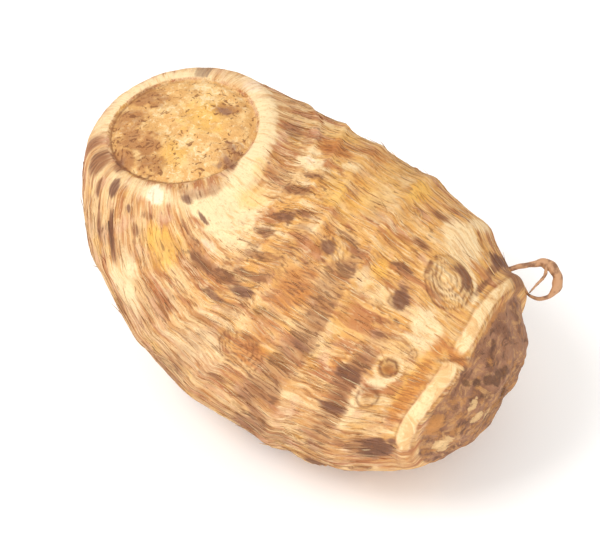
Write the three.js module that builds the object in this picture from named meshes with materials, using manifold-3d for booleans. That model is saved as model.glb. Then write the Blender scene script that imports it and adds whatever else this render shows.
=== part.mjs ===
// A small taro corm, one solid grown in one piece, lying on its side.
// Millimetres, +Z up. +X points to the dark base end, and the round scar where the leaf
// stalks were cut off faces up at the -X end. The origin is on the ground under the middle.
import * as THREE from 'three';
import { mergeVertices } from 'three/addons/utils/BufferGeometryUtils.js';
import Module from 'manifold-3d';

// ---------------------------------------------------------------- driving dimensions

// The growth line runs inside the corm from the base end to the top scar, in the plane Y = 0.
const GROWTH_LINE = [[36.6, 18.0], [14.6, 22.2], [-17.5, 22.0], [-21.5, 48.0]];
const WIDEST_AT = 0.5; // fraction of the growth line
const RADIUS_UP = 22.9;
const RADIUS_DOWN = 24.0;
const RADIUS_SIDE = 24.8;
const BASE_ROUNDING = 2.5; // 2 is an ellipse, more is blunter
const SHOULDER_ROUNDING = 1.6;

// A fuller underside, and the spot that the corm has settled on.
const BELLY = { depth: 3.0, at: 0.61, spread: 0.17 };
const FLAT_LIFT = 0.6; // how far the ground cuts into the round underside
const FLAT_BLEND = 0.6; // half the height over which the skin turns into the flat spot

// The round top scar.
const SCAR = { radius: 12, crown: 1.0, rim_groove: 0.55, pits: 0.3 };

// Leaf rings, by their distance over the skin from the middle of the base end.
// Each is a low ridge; width is its half width, drop is the step on its base side, outer is how much
// higher it stands on the outside of the corm's bend, and sides is how steep it is: 4 has a flat top.
const RINGS = [
  { at: 18.2, height: 1.0, width: 1.9, drop: 0.7, outer: 0, sides: 4 }, // the lip around the base end
  { at: 29.2, height: 0.5, width: 2.6, drop: 0.15, outer: 0, sides: 2 },
  { at: 40.2, height: 0.55, width: 2.0, drop: 0.15, outer: 0, sides: 2 },
  { at: 52.0, height: 0.5, width: 1.6, drop: 0.15, outer: 0.2, sides: 2 },
  { at: 61.5, height: 0.3, width: 1.5, drop: 0.1, outer: 0.7, sides: 2 },
  { at: 71.5, height: 0.3, width: 1.6, drop: 0.1, outer: 0.7, sides: 2 },
  { at: 83.2, height: 0.45, width: 2.2, drop: 0.0, outer: 0, sides: 2 }, // the collar around the top scar
];
const RING_WAVE = 0.9; // how far a ring wanders along the skin
const RING_SWAY = { size: 1.1, crest: 20 }; // the part of it that all rings share, three waves round
// Where one ring leaves its course: its distance, the middle angle, how far that reaches along the
// skin and round the corm, and the shift towards the top scar.
const RING_BENDS = [
  { at: 18.2, angle: 292, reach: 6, half: 44, shift: 1.2 },
  { at: 18.2, angle: 350, reach: 6, half: 70, shift: -0.6 },
  { at: 29.2, angle: 333, reach: 7, half: 30, shift: -1.5 },
  { at: 40.2, angle: 268, reach: 7, half: 30, shift: -1.4 },
  { at: 52.0, angle: 312, reach: 7, half: 26, shift: 1.9 },
  { at: 83.2, angle: 320, reach: 11, half: 38, shift: -3.0 },
  { at: 83.2, angle: 30, reach: 11, half: 55, shift: 1.6 },
];
// Where a ring is broken or worn low: which ring, the middle angle, how far that reaches round the
// corm, and the share of the ring that is gone.
const WORN_STRETCHES = [
  { at: 18.2, angle: 331, half: 6, gone: 0.85 }, // a crack through the lip
  { at: 18.2, angle: 226, half: 30, gone: 0.85 },
  { at: 29.2, angle: 232, half: 30, gone: 0.5 },
  { at: 52.0, angle: 230, half: 40, gone: 0.8 },
  { at: 52.0, angle: 30, half: 32, gone: 0.6 },
  { at: 61.5, angle: 232, half: 36, gone: 0.6 },
  { at: 71.5, angle: 232, half: 36, gone: 0.5 },
];
const HOLLOW = 0.35; // how much the skin sags between two rings, as a share of their mean height
const LUMP = 0.4; // low, wide unevenness
const GRAIN = { height: 0.16, coarse: 17, fine: 29 }; // fibre ridges along the corm, and how many go round
const BREAK_SCAR = { radius: 6.5, depth: 0.8, rim: 0.35 }; // where the corm broke off, at the base end
const BARK = { height: 0.3, inside: 15.6 }; // knobbly dry skin on the dark base end, inside the lip

// Buds and root scars: distance over the skin, angle round the growth line, size.
const BUDS = [
  { at: 25.8, angle: 1, along: 4.1, across: 4.3, height: 1.1 },
  { at: 46.2, angle: 342, along: 2.2, across: 2.2, height: 0.5 },
  { at: 58.0, angle: 118, along: 3.6, across: 3.0, height: 1.0 },
  { at: 34.6, angle: 232, along: 3.2, across: 2.8, height: 0.9 },
];
const ROOT_SCARS = [
  { at: 26.9, angle: 312, radius: 1.4 },
  { at: 27.9, angle: 297, radius: 1.7 },
  { at: 31.2, angle: 338, radius: 1.2 },
  { at: 24.6, angle: 86, radius: 1.6 },
  { at: 35.8, angle: 104, radius: 1.3 },
  { at: 26.2, angle: 142, radius: 1.5 },
  { at: 26.0, angle: 246, radius: 1.6 },
  { at: 46.0, angle: 262, radius: 1.3 },
];

// Outlines that are turned into a bud and a root scar: share of the radius, height.
const BUD_OUTLINE = [
  [0, -1.5], [1.0, -1.5], [1.0, 0.1], [0.86, 0.55], [0.7, 0.5],
  [0.58, 0.85], [0.4, 0.8], [0.26, 1.0], [0, 1.08],
];
const ROOT_SCAR_OUTLINE = [
  [0, -1.2], [1.0, -1.2], [1.0, 0.15], [0.78, 0.42], [0.5, 0.36], [0.3, 0.08], [0, 0.02],
];

// One dry rootlet comes out of the lip and curls round a centre: towards the top scar, out of the skin.
const ROOTLET = {
  at: 20.2, angle: 60, thick: 1.2, sink: 1.8, // sink is how deep it starts under the skin
  centre: [-3.2, 3.4], loop: 2.8, swing: 280, drift: 0.14, // drift keeps the loop from closing on itself
};

// Mesh fineness.
const COLUMNS = 80;
const BASE_ROWS = [2.6, 5.4, 7.2, 9.4]; // on the break scar and its rim
const TOP_SCAR_ROWS = [0.965, 0.93, 0.88, 0.62, 0.32]; // shares of its radius
const BUD_SIDES = 16;
const ROOT_SCAR_SIDES = 10;
const ROOTLET_STEPS = 24;
const WIDEST_STEP = 3.4; // largest distance between rows over the skin
const SHOULDER_FROM = 53; // past here the underside spreads the rows, so they lie closer together
const SHOULDER_STEP = 2.3;
const FAINT_RING = 0.4; // a ring no higher than this gets three rows, and a higher one five

// ---------------------------------------------------------------- the round body

const degrees = THREE.MathUtils.degToRad;

const growthLine = new THREE.CubicBezierCurve3(
  ...GROWTH_LINE.map(([x, z]) => new THREE.Vector3(x, 0, z)),
);

/** How full the corm is at t: 0 to 1, and 1 at its widest. */
function fullness(t) {
  if (t < WIDEST_AT) {
    return Math.sqrt(Math.max(0, 1 - ((WIDEST_AT - t) / WIDEST_AT) ** BASE_ROUNDING));
  }
  return Math.sqrt(Math.max(0, 1 - ((t - WIDEST_AT) / (1 - WIDEST_AT)) ** SHOULDER_ROUNDING));
}

/** Radius at t of a corm whose widest radius is widest: the shoulder ends at the top scar. */
function radiusAt(t, widest) {
  const full = fullness(t);
  return t < WIDEST_AT ? widest * full : SCAR.radius + (widest - SCAR.radius) * full;
}

/** The growth line at t: a point, its direction, and the direction across it that faces up. */
function frameAt(t) {
  const centre = growthLine.getPoint(t);
  const along = growthLine.getTangent(t);
  const up = new THREE.Vector3(along.z, 0, -along.x);
  return { centre, along, up };
}

/** A point of the smooth skin, at t along the growth line and at an angle round it from the top. */
function skinPoint(t, angle) {
  const { centre, up } = frameAt(t);
  const c = Math.cos(angle);
  const s = Math.sin(angle);
  const upright = radiusAt(t, c > 0 ? RADIUS_UP : RADIUS_DOWN);
  const sideways = radiusAt(t, RADIUS_SIDE);
  const round = 1 / Math.hypot(c / Math.max(upright, 1e-6), s / Math.max(sideways, 1e-6));
  const belly = BELLY.depth * Math.exp(-(((t - BELLY.at) / BELLY.spread) ** 2)) * Math.max(0, -c) ** 2;
  const radius = round + belly;
  return centre.addScaledVector(up, radius * c).add(new THREE.Vector3(0, radius * s, 0));
}

/** Distances over the skin from the base end, for a table of t. */
function measureMeridian(steps = 400) {
  const table = [{ t: 0, distance: 0 }];
  const widest = (RADIUS_UP + RADIUS_DOWN) / 2;
  let previous = { centre: growthLine.getPoint(0), radius: 0 };
  for (let i = 1; i <= 2 * steps; i += 1) {
    const quarter = (Math.PI / 2) * ((i <= steps ? i : i - steps) / steps);
    const baseHalf = WIDEST_AT * (1 - Math.cos(quarter));
    const topHalf = WIDEST_AT + (1 - WIDEST_AT) * Math.sin(quarter);
    const t = i <= steps ? baseHalf : topHalf;
    const next = { centre: growthLine.getPoint(t), radius: radiusAt(t, widest) };
    const step = Math.hypot(next.centre.distanceTo(previous.centre), next.radius - previous.radius);
    table.push({ t, distance: table.at(-1).distance + step });
    previous = next;
  }
  return table;
}

const meridian = measureMeridian();
const SKIN_LENGTH = meridian.at(-1).distance;

/** t at a distance over the skin. */
function tAt(distance) {
  const above = meridian.findIndex((row) => row.distance >= distance);
  if (above <= 0) {
    return above === 0 ? 0 : 1;
  }
  const low = meridian[above - 1];
  const high = meridian[above];
  return THREE.MathUtils.mapLinear(distance, low.distance, high.distance, low.t, high.t);
}

// ---------------------------------------------------------------- relief

/** A smooth hump: 1 at 0, and 0 from 1 outwards. */
function hump(away) {
  return Math.max(0, 1 - away * away) ** 2;
}

/** The turn from a middle angle in degrees to an angle, the short way round. */
function turnFrom(middle, angle) {
  const away = angle - degrees(middle);
  return Math.atan2(Math.sin(away), Math.cos(away));
}

/** How far a ring has wandered along the skin at an angle; only bends reach the two ends. */
function ringWander(distance, angle) {
  const calm = Math.sin(Math.PI * THREE.MathUtils.clamp(distance / SKIN_LENGTH, 0, 1));
  const phase = distance * 0.11;
  const slow = 0.5 * Math.sin(2 * angle + phase) + 0.3 * Math.sin(5 * angle - 2.1 * phase);
  const own = RING_WAVE * (slow + 0.2 * Math.sin(9 * angle + 3 * phase));
  const sway = RING_SWAY.size * Math.cos(3 * (angle - degrees(RING_SWAY.crest)));
  const bends = RING_BENDS.reduce((sum, bend) => {
    const along = hump((distance - bend.at) / bend.reach);
    return sum + bend.shift * along * hump(turnFrom(bend.angle, angle) / degrees(bend.half));
  }, 0);
  return calm * (own + sway) + bends;
}

/** How much of a ring is left at an angle, as a share. */
function ringLeft(ring, angle) {
  const stretches = WORN_STRETCHES.filter((stretch) => stretch.at === ring.at);
  return stretches.reduce((left, { angle: middle, half, gone }) => {
    return left * (1 - gone * Math.exp(-((turnFrom(middle, angle) / degrees(half)) ** 2)));
  }, 1);
}

/** Height of one ring at a distance over the skin. */
function ringHeight(ring, distance, angle) {
  const away = (distance - ring.at) / ring.width;
  const ridge = ring.height * Math.exp(-(Math.abs(away) ** ring.sides) * 1.6);
  const below = THREE.MathUtils.smoothstep(-away, 0.3, 1.2) * (1 - THREE.MathUtils.smoothstep(-away, 1, 5));
  const uneven = 0.85 + 0.15 * Math.sin(3 * angle + ring.at);
  const strength = uneven * ringLeft(ring, angle) * (1 + (ring.outer * (1 - Math.cos(angle))) / 2);
  return strength * (ridge - ring.drop * below);
}

/** The skin sags a little between two rings, and more between high ones. */
function hollowHeight(distance) {
  const next = RINGS.findIndex((ring) => ring.at > distance);
  if (next <= 0) {
    return 0;
  }
  const [low, high] = [RINGS[next - 1], RINGS[next]];
  const share = (distance - low.at) / (high.at - low.at);
  return -HOLLOW * ((low.height + high.height) / 2) * Math.sin(Math.PI * share) ** 2;
}

/** Wide, low lumps that keep the corm from being a turned shape. */
function lumpHeight(distance, angle) {
  const u = distance / 9;
  const calm = Math.sin(Math.PI * THREE.MathUtils.clamp(distance / SKIN_LENGTH, 0, 1));
  const first = Math.sin(u + 1.3) * Math.cos(2 * angle + 0.6);
  const second = Math.sin(1.7 * u + 4.0) * Math.sin(3 * angle + 1.9);
  const third = Math.sin(2.3 * u + 0.7) * Math.cos(5 * angle + 3.1);
  return LUMP * calm * (0.5 * first + 0.3 * second + 0.2 * third);
}

/** Fibre ridges that run along the corm and fade at each ring. */
function grainHeight(distance, angle) {
  const { smoothstep } = THREE.MathUtils;
  const calm = smoothstep(distance, 6, 24) * smoothstep(SKIN_LENGTH - distance, 2, 12);
  const bend = 0.35 * Math.sin(distance / 7);
  const fine = Math.sin(GRAIN.fine * angle + bend) * Math.sin(distance / 3.1 + 5 * angle);
  const coarse = Math.sin(GRAIN.coarse * angle + bend) * Math.sin(distance / 5.3 - 3 * angle);
  return GRAIN.height * calm * (0.6 * fine + 0.4 * coarse);
}

/** The rough dent where the corm broke off at the base end. */
function breakScarHeight(distance, angle) {
  const away = distance / BREAK_SCAR.radius;
  const uneven = 1 + 0.25 * Math.sin(3 * angle + 0.4) * Math.min(away, 1);
  const rim = BREAK_SCAR.rim * Math.exp(-(((away - 1.1) / 0.25) ** 2));
  return -BREAK_SCAR.depth * uneven * Math.exp(-(away ** 4)) + rim;
}

/** Knobs of the dry dark skin between the break scar and the lip. */
function barkHeight(distance, angle) {
  const there = 1 - THREE.MathUtils.smoothstep(distance, BARK.inside - 3, BARK.inside + 1);
  const knobs = Math.sin(5 * angle + 0.5 * distance) * Math.cos(0.75 * distance + 1 + Math.sin(2 * angle));
  const folds = Math.sin(11 * angle - 0.6 * distance) * THREE.MathUtils.smoothstep(distance, 4, 10);
  return BARK.height * there * (0.7 * knobs + 0.4 * folds);
}

/** All relief of the skin, at a distance over it from the base end. */
function reliefAt(distance, angle) {
  let height = RINGS.reduce((sum, ring) => sum + ringHeight(ring, distance, angle), 0);
  height += hollowHeight(distance);
  height += lumpHeight(distance, angle);
  height += grainHeight(distance, angle);
  height += breakScarHeight(distance, angle);
  height += barkHeight(distance, angle);
  return height;
}

/** Relief of the top scar, at a share 0 to 1 of its radius: a crown, a groove inside the rim, and pits. */
function scarRelief(share, angle) {
  const x = share * SCAR.radius * Math.cos(angle);
  const y = share * SCAR.radius * Math.sin(angle);
  const crown = SCAR.crown * (1 - share * share);
  const groove = -SCAR.rim_groove * Math.exp(-(((share - 0.93) / 0.05) ** 2));
  const pits = SCAR.pits * (1 - share ** 4) * Math.sin(0.9 * x + 0.4 * y + 1) * Math.cos(0.8 * y - 0.5 * x);
  return crown + groove + pits;
}

// ---------------------------------------------------------------- the body as one mesh

/** Rows over the skin: close together on each ring, and no wider apart than the widest step. */
function rowDistances() {
  const wanted = [...BASE_ROWS];
  for (const ring of RINGS) {
    const shares = ring.height > FAINT_RING ? [-1.1, -0.6, 0, 0.6, 1.1] : [-1.1, 0, 1.1];
    wanted.push(...shares.map((share) => ring.at + share * ring.width));
  }
  wanted.push(SKIN_LENGTH);
  wanted.sort((a, b) => a - b);
  const rows = [];
  let last = 0;
  for (const distance of wanted) {
    const widest = last < SHOULDER_FROM ? WIDEST_STEP : SHOULDER_STEP;
    const pieces = Math.ceil((distance - last) / widest);
    for (let i = 1; i <= pieces; i += 1) {
      rows.push(last + ((distance - last) * i) / pieces);
    }
    last = distance;
  }
  return rows;
}

/** Lets the round underside settle on the ground, with a soft edge round the flat spot. */
function settle(height) {
  const over = height - FLAT_LIFT;
  if (over > FLAT_BLEND) {
    return over;
  }
  return over < -FLAT_BLEND ? 0 : (over + FLAT_BLEND) ** 2 / (4 * FLAT_BLEND);
}

function makeBody() {
  const rows = rowDistances();
  const points = [];
  const heights = [];
  const add = (point, height) => {
    points.push(point);
    heights.push(height);
    return points.length - 1;
  };
  const top = frameAt(1);
  const angles = Array.from({ length: COLUMNS }, (_, i) => (2 * Math.PI * i) / COLUMNS);
  const basePole = add(growthLine.getPoint(0), breakScarHeight(0, 0));
  for (const distance of rows) {
    for (const angle of angles) {
      add(skinPoint(tAt(distance + ringWander(distance, angle)), angle), reliefAt(distance, angle));
    }
  }
  for (const share of TOP_SCAR_ROWS) {
    for (const angle of angles) {
      add(skinPoint(1, angle).lerp(top.centre, 1 - share), scarRelief(share, angle));
    }
  }
  const topPole = add(top.centre.clone(), scarRelief(0, 0));

  const triangles = [];
  const rings = rows.length + TOP_SCAR_ROWS.length;
  const at = (ring, column) => 1 + ring * COLUMNS + (column % COLUMNS);
  for (let column = 0; column < COLUMNS; column += 1) {
    triangles.push(basePole, at(0, column + 1), at(0, column));
    triangles.push(topPole, at(rings - 1, column), at(rings - 1, column + 1));
    for (let ring = 0; ring < rings - 1; ring += 1) {
      const [a, b] = [at(ring, column), at(ring, column + 1)];
      const [c, d] = [at(ring + 1, column), at(ring + 1, column + 1)];
      triangles.push(a, b, d, a, d, c);
    }
  }

  const geometry = new THREE.BufferGeometry();
  geometry.setFromPoints(points);
  geometry.setIndex(triangles);
  geometry.computeVertexNormals();
  const position = geometry.getAttribute('position');
  const normal = geometry.getAttribute('normal');
  const moved = new THREE.Vector3();
  for (let i = 0; i < position.count; i += 1) {
    moved.fromBufferAttribute(normal, i).multiplyScalar(heights[i]);
    moved.add(new THREE.Vector3().fromBufferAttribute(position, i));
    position.setXYZ(i, moved.x, moved.y, settle(moved.z));
  }
  return geometry;
}

// ---------------------------------------------------------------- what grows on the skin

/** A place on the skin: its point, the direction out of the skin, and the direction to the top. */
function placeOnSkin(distance, angleInDegrees) {
  const angle = degrees(angleInDegrees);
  const small = 0.5;
  const point = skinPoint(tAt(distance), angle);
  const further = skinPoint(tAt(distance + small), angle);
  const beside = skinPoint(tAt(distance), angle + small / RADIUS_SIDE);
  const toTop = further.sub(point).normalize();
  const across = beside.sub(point).normalize();
  const out = new THREE.Vector3().crossVectors(across, toTop).normalize();
  point.addScaledVector(out, reliefAt(distance - ringWander(distance, angle), angle));
  point.z -= FLAT_LIFT;
  const frame = new THREE.Matrix4().makeBasis(new THREE.Vector3().crossVectors(toTop, out), toTop, out);
  return { point, frame };
}

/** A bud: a low oval dome in two steps, the rings of its scales. */
function makeBud({ at, angle, along, across, height }) {
  const bud = new THREE.LatheGeometry(BUD_OUTLINE.map(([r, h]) => new THREE.Vector2(r, h)), BUD_SIDES);
  bud.rotateX(Math.PI / 2);
  bud.scale(across, along, height);
  return settleOnSkin(bud, at, angle);
}

/** A root scar: a small round button with a dimple. */
function makeRootScar({ at, angle, radius }) {
  const outline = ROOT_SCAR_OUTLINE.map(([r, h]) => new THREE.Vector2(r * radius, h));
  const button = new THREE.LatheGeometry(outline, ROOT_SCAR_SIDES);
  button.rotateX(Math.PI / 2);
  return settleOnSkin(button, at, angle);
}

function settleOnSkin(geometry, distance, angle) {
  const { point, frame } = placeOnSkin(distance, angle);
  geometry.applyMatrix4(frame);
  geometry.translate(point.x, point.y, point.z);
  return geometry;
}

/** The dry rootlet: out of the lip, over, and most of the way round a loop beside the base end. */
function makeRootlet() {
  const { point, frame } = placeOnSkin(ROOTLET.at, ROOTLET.angle);
  const route = [[0.4, -ROOTLET.sink], [0.4, 0.2], [0.1, 1.8]]; // distance towards the top, distance out
  for (let swing = 0; swing <= ROOTLET.swing; swing += ROOTLET.swing / 8) {
    const toTop = ROOTLET.centre[0] + ROOTLET.loop * Math.cos(degrees(swing));
    const out = ROOTLET.centre[1] + ROOTLET.loop * Math.sin(degrees(swing));
    route.push([toTop, out]);
  }
  const points = route.map(([toTop, out], i) => new THREE.Vector3(ROOTLET.drift * i, toTop, out));
  points.forEach((p) => p.applyMatrix4(frame).add(point));
  const curve = new THREE.CatmullRomCurve3(points, false, 'centripetal');
  const section = new THREE.Shape();
  section.absellipse(0, 0, ROOTLET.thick / 2, ROOTLET.thick / 2, 0, 2 * Math.PI);
  return new THREE.ExtrudeGeometry(section, {
    steps: ROOTLET_STEPS, extrudePath: curve, curveSegments: 3, bevelEnabled: false,
  });
}

// ---------------------------------------------------------------- one solid

const wasm = await Module();
wasm.setup();

/** A geometry as a manifold solid. */
function toSolid(geometry) {
  const bare = geometry.clone();
  bare.deleteAttribute('normal');
  bare.deleteAttribute('uv');
  const merged = mergeVertices(bare, 1e-4);
  const vertProperties = new Float32Array(merged.getAttribute('position').array);
  const triVerts = new Uint32Array(merged.getIndex().array);
  return new wasm.Manifold(new wasm.Mesh({ numProp: 3, vertProperties, triVerts }));
}

/** A manifold solid as a geometry, with its origin on the ground under its middle. */
function toGeometry(solid) {
  const mesh = solid.getMesh();
  const geometry = new THREE.BufferGeometry();
  geometry.setAttribute('position', new THREE.Float32BufferAttribute(mesh.vertProperties, mesh.numProp));
  geometry.setIndex(new THREE.Uint32BufferAttribute(mesh.triVerts, 1));
  geometry.computeBoundingBox();
  const middle = geometry.boundingBox.getCenter(new THREE.Vector3());
  geometry.translate(-middle.x, -middle.y, -geometry.boundingBox.min.z);
  geometry.computeVertexNormals();
  return geometry;
}

let corm = toSolid(makeBody());
for (const growth of [...BUDS.map(makeBud), ...ROOT_SCARS.map(makeRootScar), makeRootlet()]) {
  corm = corm.add(toSolid(growth));
}

const skin = new THREE.MeshStandardMaterial({ color: 0xe2bb82, roughness: 0.8, metalness: 0 });
const mesh = new THREE.Mesh(toGeometry(corm), skin);
mesh.name = 'corm';

const taro = new THREE.Group();
taro.add(mesh);

export default taro;
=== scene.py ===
# %% [markdown]
# # A taro corm
# A taro corm is the swollen foot of the plant's stem. Old leaf stalks leave a ring each, a round scar
# stays where the last stalks were cut off, and the skin between is dry fibre that lies along the corm.
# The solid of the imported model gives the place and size. This script grows a finer skin over the same
# rule of shape, colours it, lays the fibres on it and lights it on a white ground.

# %% The frame
import bpy
import math
import numpy as np
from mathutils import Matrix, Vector, noise


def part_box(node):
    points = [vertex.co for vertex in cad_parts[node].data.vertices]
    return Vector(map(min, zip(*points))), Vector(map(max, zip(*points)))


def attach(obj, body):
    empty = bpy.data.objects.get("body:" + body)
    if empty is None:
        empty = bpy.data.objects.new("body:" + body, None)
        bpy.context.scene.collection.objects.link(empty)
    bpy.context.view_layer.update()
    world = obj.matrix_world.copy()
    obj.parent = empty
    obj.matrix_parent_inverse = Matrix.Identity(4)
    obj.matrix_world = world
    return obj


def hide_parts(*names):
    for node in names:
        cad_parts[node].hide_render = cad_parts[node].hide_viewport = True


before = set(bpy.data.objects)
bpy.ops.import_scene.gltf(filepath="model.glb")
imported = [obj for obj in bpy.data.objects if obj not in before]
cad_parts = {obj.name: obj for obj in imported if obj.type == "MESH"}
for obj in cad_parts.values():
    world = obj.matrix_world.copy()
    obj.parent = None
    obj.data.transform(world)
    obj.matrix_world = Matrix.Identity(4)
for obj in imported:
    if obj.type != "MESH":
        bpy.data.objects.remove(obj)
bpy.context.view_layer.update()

# %% [markdown]
# ## Sizes
# The frame is in metres and a corm is thought of in millimetres, so every size is written in
# millimetres and turned to metres by one value when a mesh is made. A place on the skin is two
# numbers: "at" is the distance over the skin from the base end, and "angle" is the way round the
# corm in degrees, with 0 on top. Places of one kind stand in a table, whose columns one function
# names.

# %% A table of places or sizes
def table(names, *rows):
    """A dictionary for each row, with the same names in all of them."""
    return [dict(zip(names.split(), row)) for row in rows]


print("a table of one place:", table("at angle", (18.2, 331)))

# %% Sizes of the corm, in millimetres
MM = 0.001
GROWTH_LINE = np.array([(36.6, 18.0), (14.6, 22.2), (-17.5, 22.0), (-21.5, 48.0)])  # X and Z
WIDEST_AT = 0.5  # a share of the growth line
RADIUS_UP, RADIUS_DOWN, RADIUS_SIDE = 22.9, 24.0, 24.8
BASE_ROUNDING, SHOULDER_ROUNDING = 2.5, 1.6
BELLY = {"depth": 3.0, "at": 0.61, "spread": 0.17}  # at and spread are shares of the growth line
SCAR = {"radius": 12.0, "crown": 1.0, "rim_groove": 0.55, "pits": 0.3}
print("at its widest:", RADIUS_UP + RADIUS_DOWN, "mm high and", 2 * RADIUS_SIDE, "mm across")

# %% [markdown]
# ## The rule of the shape
# A corm could be sculpted by hand, or turned on a lathe and bent. Here it is a formula: a growth line,
# a radius that swells and shrinks along it, and an angle round it. The formula makes every point of
# the skin from two numbers, so rings, buds and colour can all be placed by the same two numbers.

# %% A bell, and how full the corm is
def bell(away, power=2):
    """A bell: 1 at 0, fading from 1 outwards; a higher power makes its top flat and its sides steep."""
    return np.exp(-(np.abs(away) ** power))


def fullness(t):
    """How full the corm is at t along the growth line: 1 at its widest."""
    low = np.clip((WIDEST_AT - t) / WIDEST_AT, 0, 1)
    high = np.clip((t - WIDEST_AT) / (1 - WIDEST_AT), 0, 1)
    return np.sqrt(np.where(t < WIDEST_AT, 1 - low ** BASE_ROUNDING, 1 - high ** SHOULDER_ROUNDING))


def radius_at(t, widest):
    full = fullness(t)
    return np.where(t < WIDEST_AT, widest * full, SCAR["radius"] + (widest - SCAR["radius"]) * full)


steps = np.linspace(0, 1, 5)
print("radius on top, along the growth line:", np.round(radius_at(steps, RADIUS_UP), 1))

# %% The growth line, and the skin round it
TINY = 1e-6  # keeps a division from running into zero


def growth_frame(t):
    """The growth line at t: its points and the directions across it that face up, as X and Z."""
    t = np.asarray(t, float)[..., None]
    p0, p1, p2, p3 = GROWTH_LINE
    point = (1 - t) ** 3 * p0 + 3 * (1 - t) ** 2 * t * p1 + 3 * (1 - t) * t * t * p2 + t ** 3 * p3
    along = (1 - t) ** 2 * (p1 - p0) + 2 * (1 - t) * t * (p2 - p1) + t * t * (p3 - p2)
    along /= np.linalg.norm(along, axis=-1, keepdims=True)
    return point, np.stack([along[..., 1], -along[..., 0]], -1)


def skin_point(t, angle):
    """Points of the smooth skin."""
    centre, up = growth_frame(t)
    c, s = np.cos(angle), np.sin(angle)
    upright = radius_at(t, np.where(c > 0, RADIUS_UP, RADIUS_DOWN))
    sideways = radius_at(t, RADIUS_SIDE)
    radius = 1 / np.hypot(c / np.maximum(upright, TINY), s / np.maximum(sideways, TINY))
    radius = radius + BELLY["depth"] * bell((t - BELLY["at"]) / BELLY["spread"]) * np.maximum(0, -c) ** 2
    return np.stack([centre[..., 0] + up[..., 0] * radius * c, radius * s,
                     centre[..., 1] + up[..., 1] * radius * c], -1)


print("the skin at its widest, on top:", np.round(skin_point(WIDEST_AT, 0.0), 1))

# %% Distances over the skin
def measure_meridian(steps=400):
    """t and the distance over the skin from the base end, side by side."""
    quarter = np.linspace(0, np.pi / 2, steps + 1)
    t = np.concatenate([WIDEST_AT * (1 - np.cos(quarter)),
                        WIDEST_AT + (1 - WIDEST_AT) * np.sin(quarter[1:])])
    centre, _ = growth_frame(t)
    radius = radius_at(t, (RADIUS_UP + RADIUS_DOWN) / 2)
    step = np.hypot(np.linalg.norm(np.diff(centre, axis=0), axis=1), np.diff(radius))
    return t, np.concatenate([[0], np.cumsum(step)])


MERIDIAN_T, MERIDIAN_DISTANCE = measure_meridian()
SKIN_LENGTH = MERIDIAN_DISTANCE[-1]


def t_at(distance):
    return np.interp(distance, MERIDIAN_DISTANCE, MERIDIAN_T)


print(f"base end to the top scar over the skin: {SKIN_LENGTH:.1f} mm")

# %% [markdown]
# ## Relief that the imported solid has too
# Each leaf ring is a low ridge with a step on its base side, and it wanders a little as it goes round.
# Buds are low stepped domes, root scars are buttons with a dimple, and the dark base end is knobbly.
# All of it is a height added to the smooth skin, worked out from the distance and the angle.

# %% Small rules that every height uses
def smoothstep(x, low, high):
    x = np.clip((x - low) / (high - low), 0, 1)
    return x * x * (3 - 2 * x)


def calm_ends(distance):
    return np.sin(np.pi * np.clip(distance / SKIN_LENGTH, 0, 1))


def hump(away):
    """A smooth hump: 1 at 0, and 0 from 1 outwards."""
    return np.maximum(0, 1 - away * away) ** 2


def turns_from(middle, half, angle):
    """The turn from a middle to an angle, the short way round, in shares of a half angle in degrees."""
    return np.angle(np.exp(1j * (angle - math.radians(middle)))) / math.radians(half)


print("a hump at 0, half way and at its edge:", *hump(np.array([0, 0.5, 1])))

# %% Rings that wander and wear off
# A ring steps down by drop on its base side, rises by outer more on the outside of the bend, and has
# steeper flanks the higher sides is.
RINGS = table("at height width drop outer sides",
              (18.2, 1.0, 1.9, 0.7, 0, 4), (29.2, 0.5, 2.6, 0.15, 0, 2), (40.2, 0.55, 2.0, 0.15, 0, 2),
              (52.0, 0.5, 1.6, 0.15, 0.2, 2), (61.5, 0.3, 1.5, 0.1, 0.7, 2),
              (71.5, 0.3, 1.6, 0.1, 0.7, 2), (83.2, 0.45, 2.2, 0.0, 0, 2))
LIP = RINGS[0]
RING_WAVE, RING_SWAY = 0.9, {"size": 1.1, "crest": 20}
# Near these places a ring runs aside by shift, or a share of its height is gone.
RING_BENDS = table("at angle reach half shift",
                   (18.2, 292, 6, 44, 1.2), (18.2, 350, 6, 70, -0.6), (29.2, 333, 7, 30, -1.5),
                   (40.2, 268, 7, 30, -1.4), (52.0, 312, 7, 26, 1.9), (83.2, 320, 11, 38, -3.0),
                   (83.2, 30, 11, 55, 1.6))
WORN_STRETCHES = table("at angle half gone",
                       (18.2, 331, 6, 0.85), (18.2, 226, 30, 0.85), (29.2, 232, 30, 0.5),
                       (52.0, 230, 40, 0.8), (52.0, 30, 32, 0.6), (61.5, 232, 36, 0.6),
                       (71.5, 232, 36, 0.5))
# In shares of a ring's width: where the step below it starts and is full, and where the skin rises
# from it again. A ring is uneven by a share of its height as it goes round.
RIDGE = {"tight": 1.6, "steps": (0.3, 1.2), "rises": (1, 5), "uneven": 0.15}
WAVES = [(0.5, 2, 1.0), (0.3, 5, -2.1), (0.2, 9, 3.0)]  # share, waves round the corm, drift
WAVE_PHASE = 0.11  # radians per millimetre


def ring_wander(distance, angle):
    phase = distance * WAVE_PHASE
    own = RING_WAVE * sum(share * np.sin(times * angle + drift * phase) for share, times, drift in WAVES)
    sway = RING_SWAY["size"] * np.cos(3 * (angle - math.radians(RING_SWAY["crest"])))
    bends = sum(bend["shift"] * hump((distance - bend["at"]) / bend["reach"])
                * hump(turns_from(bend["angle"], bend["half"], angle)) for bend in RING_BENDS)
    return calm_ends(distance) * (own + sway) + bends


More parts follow.
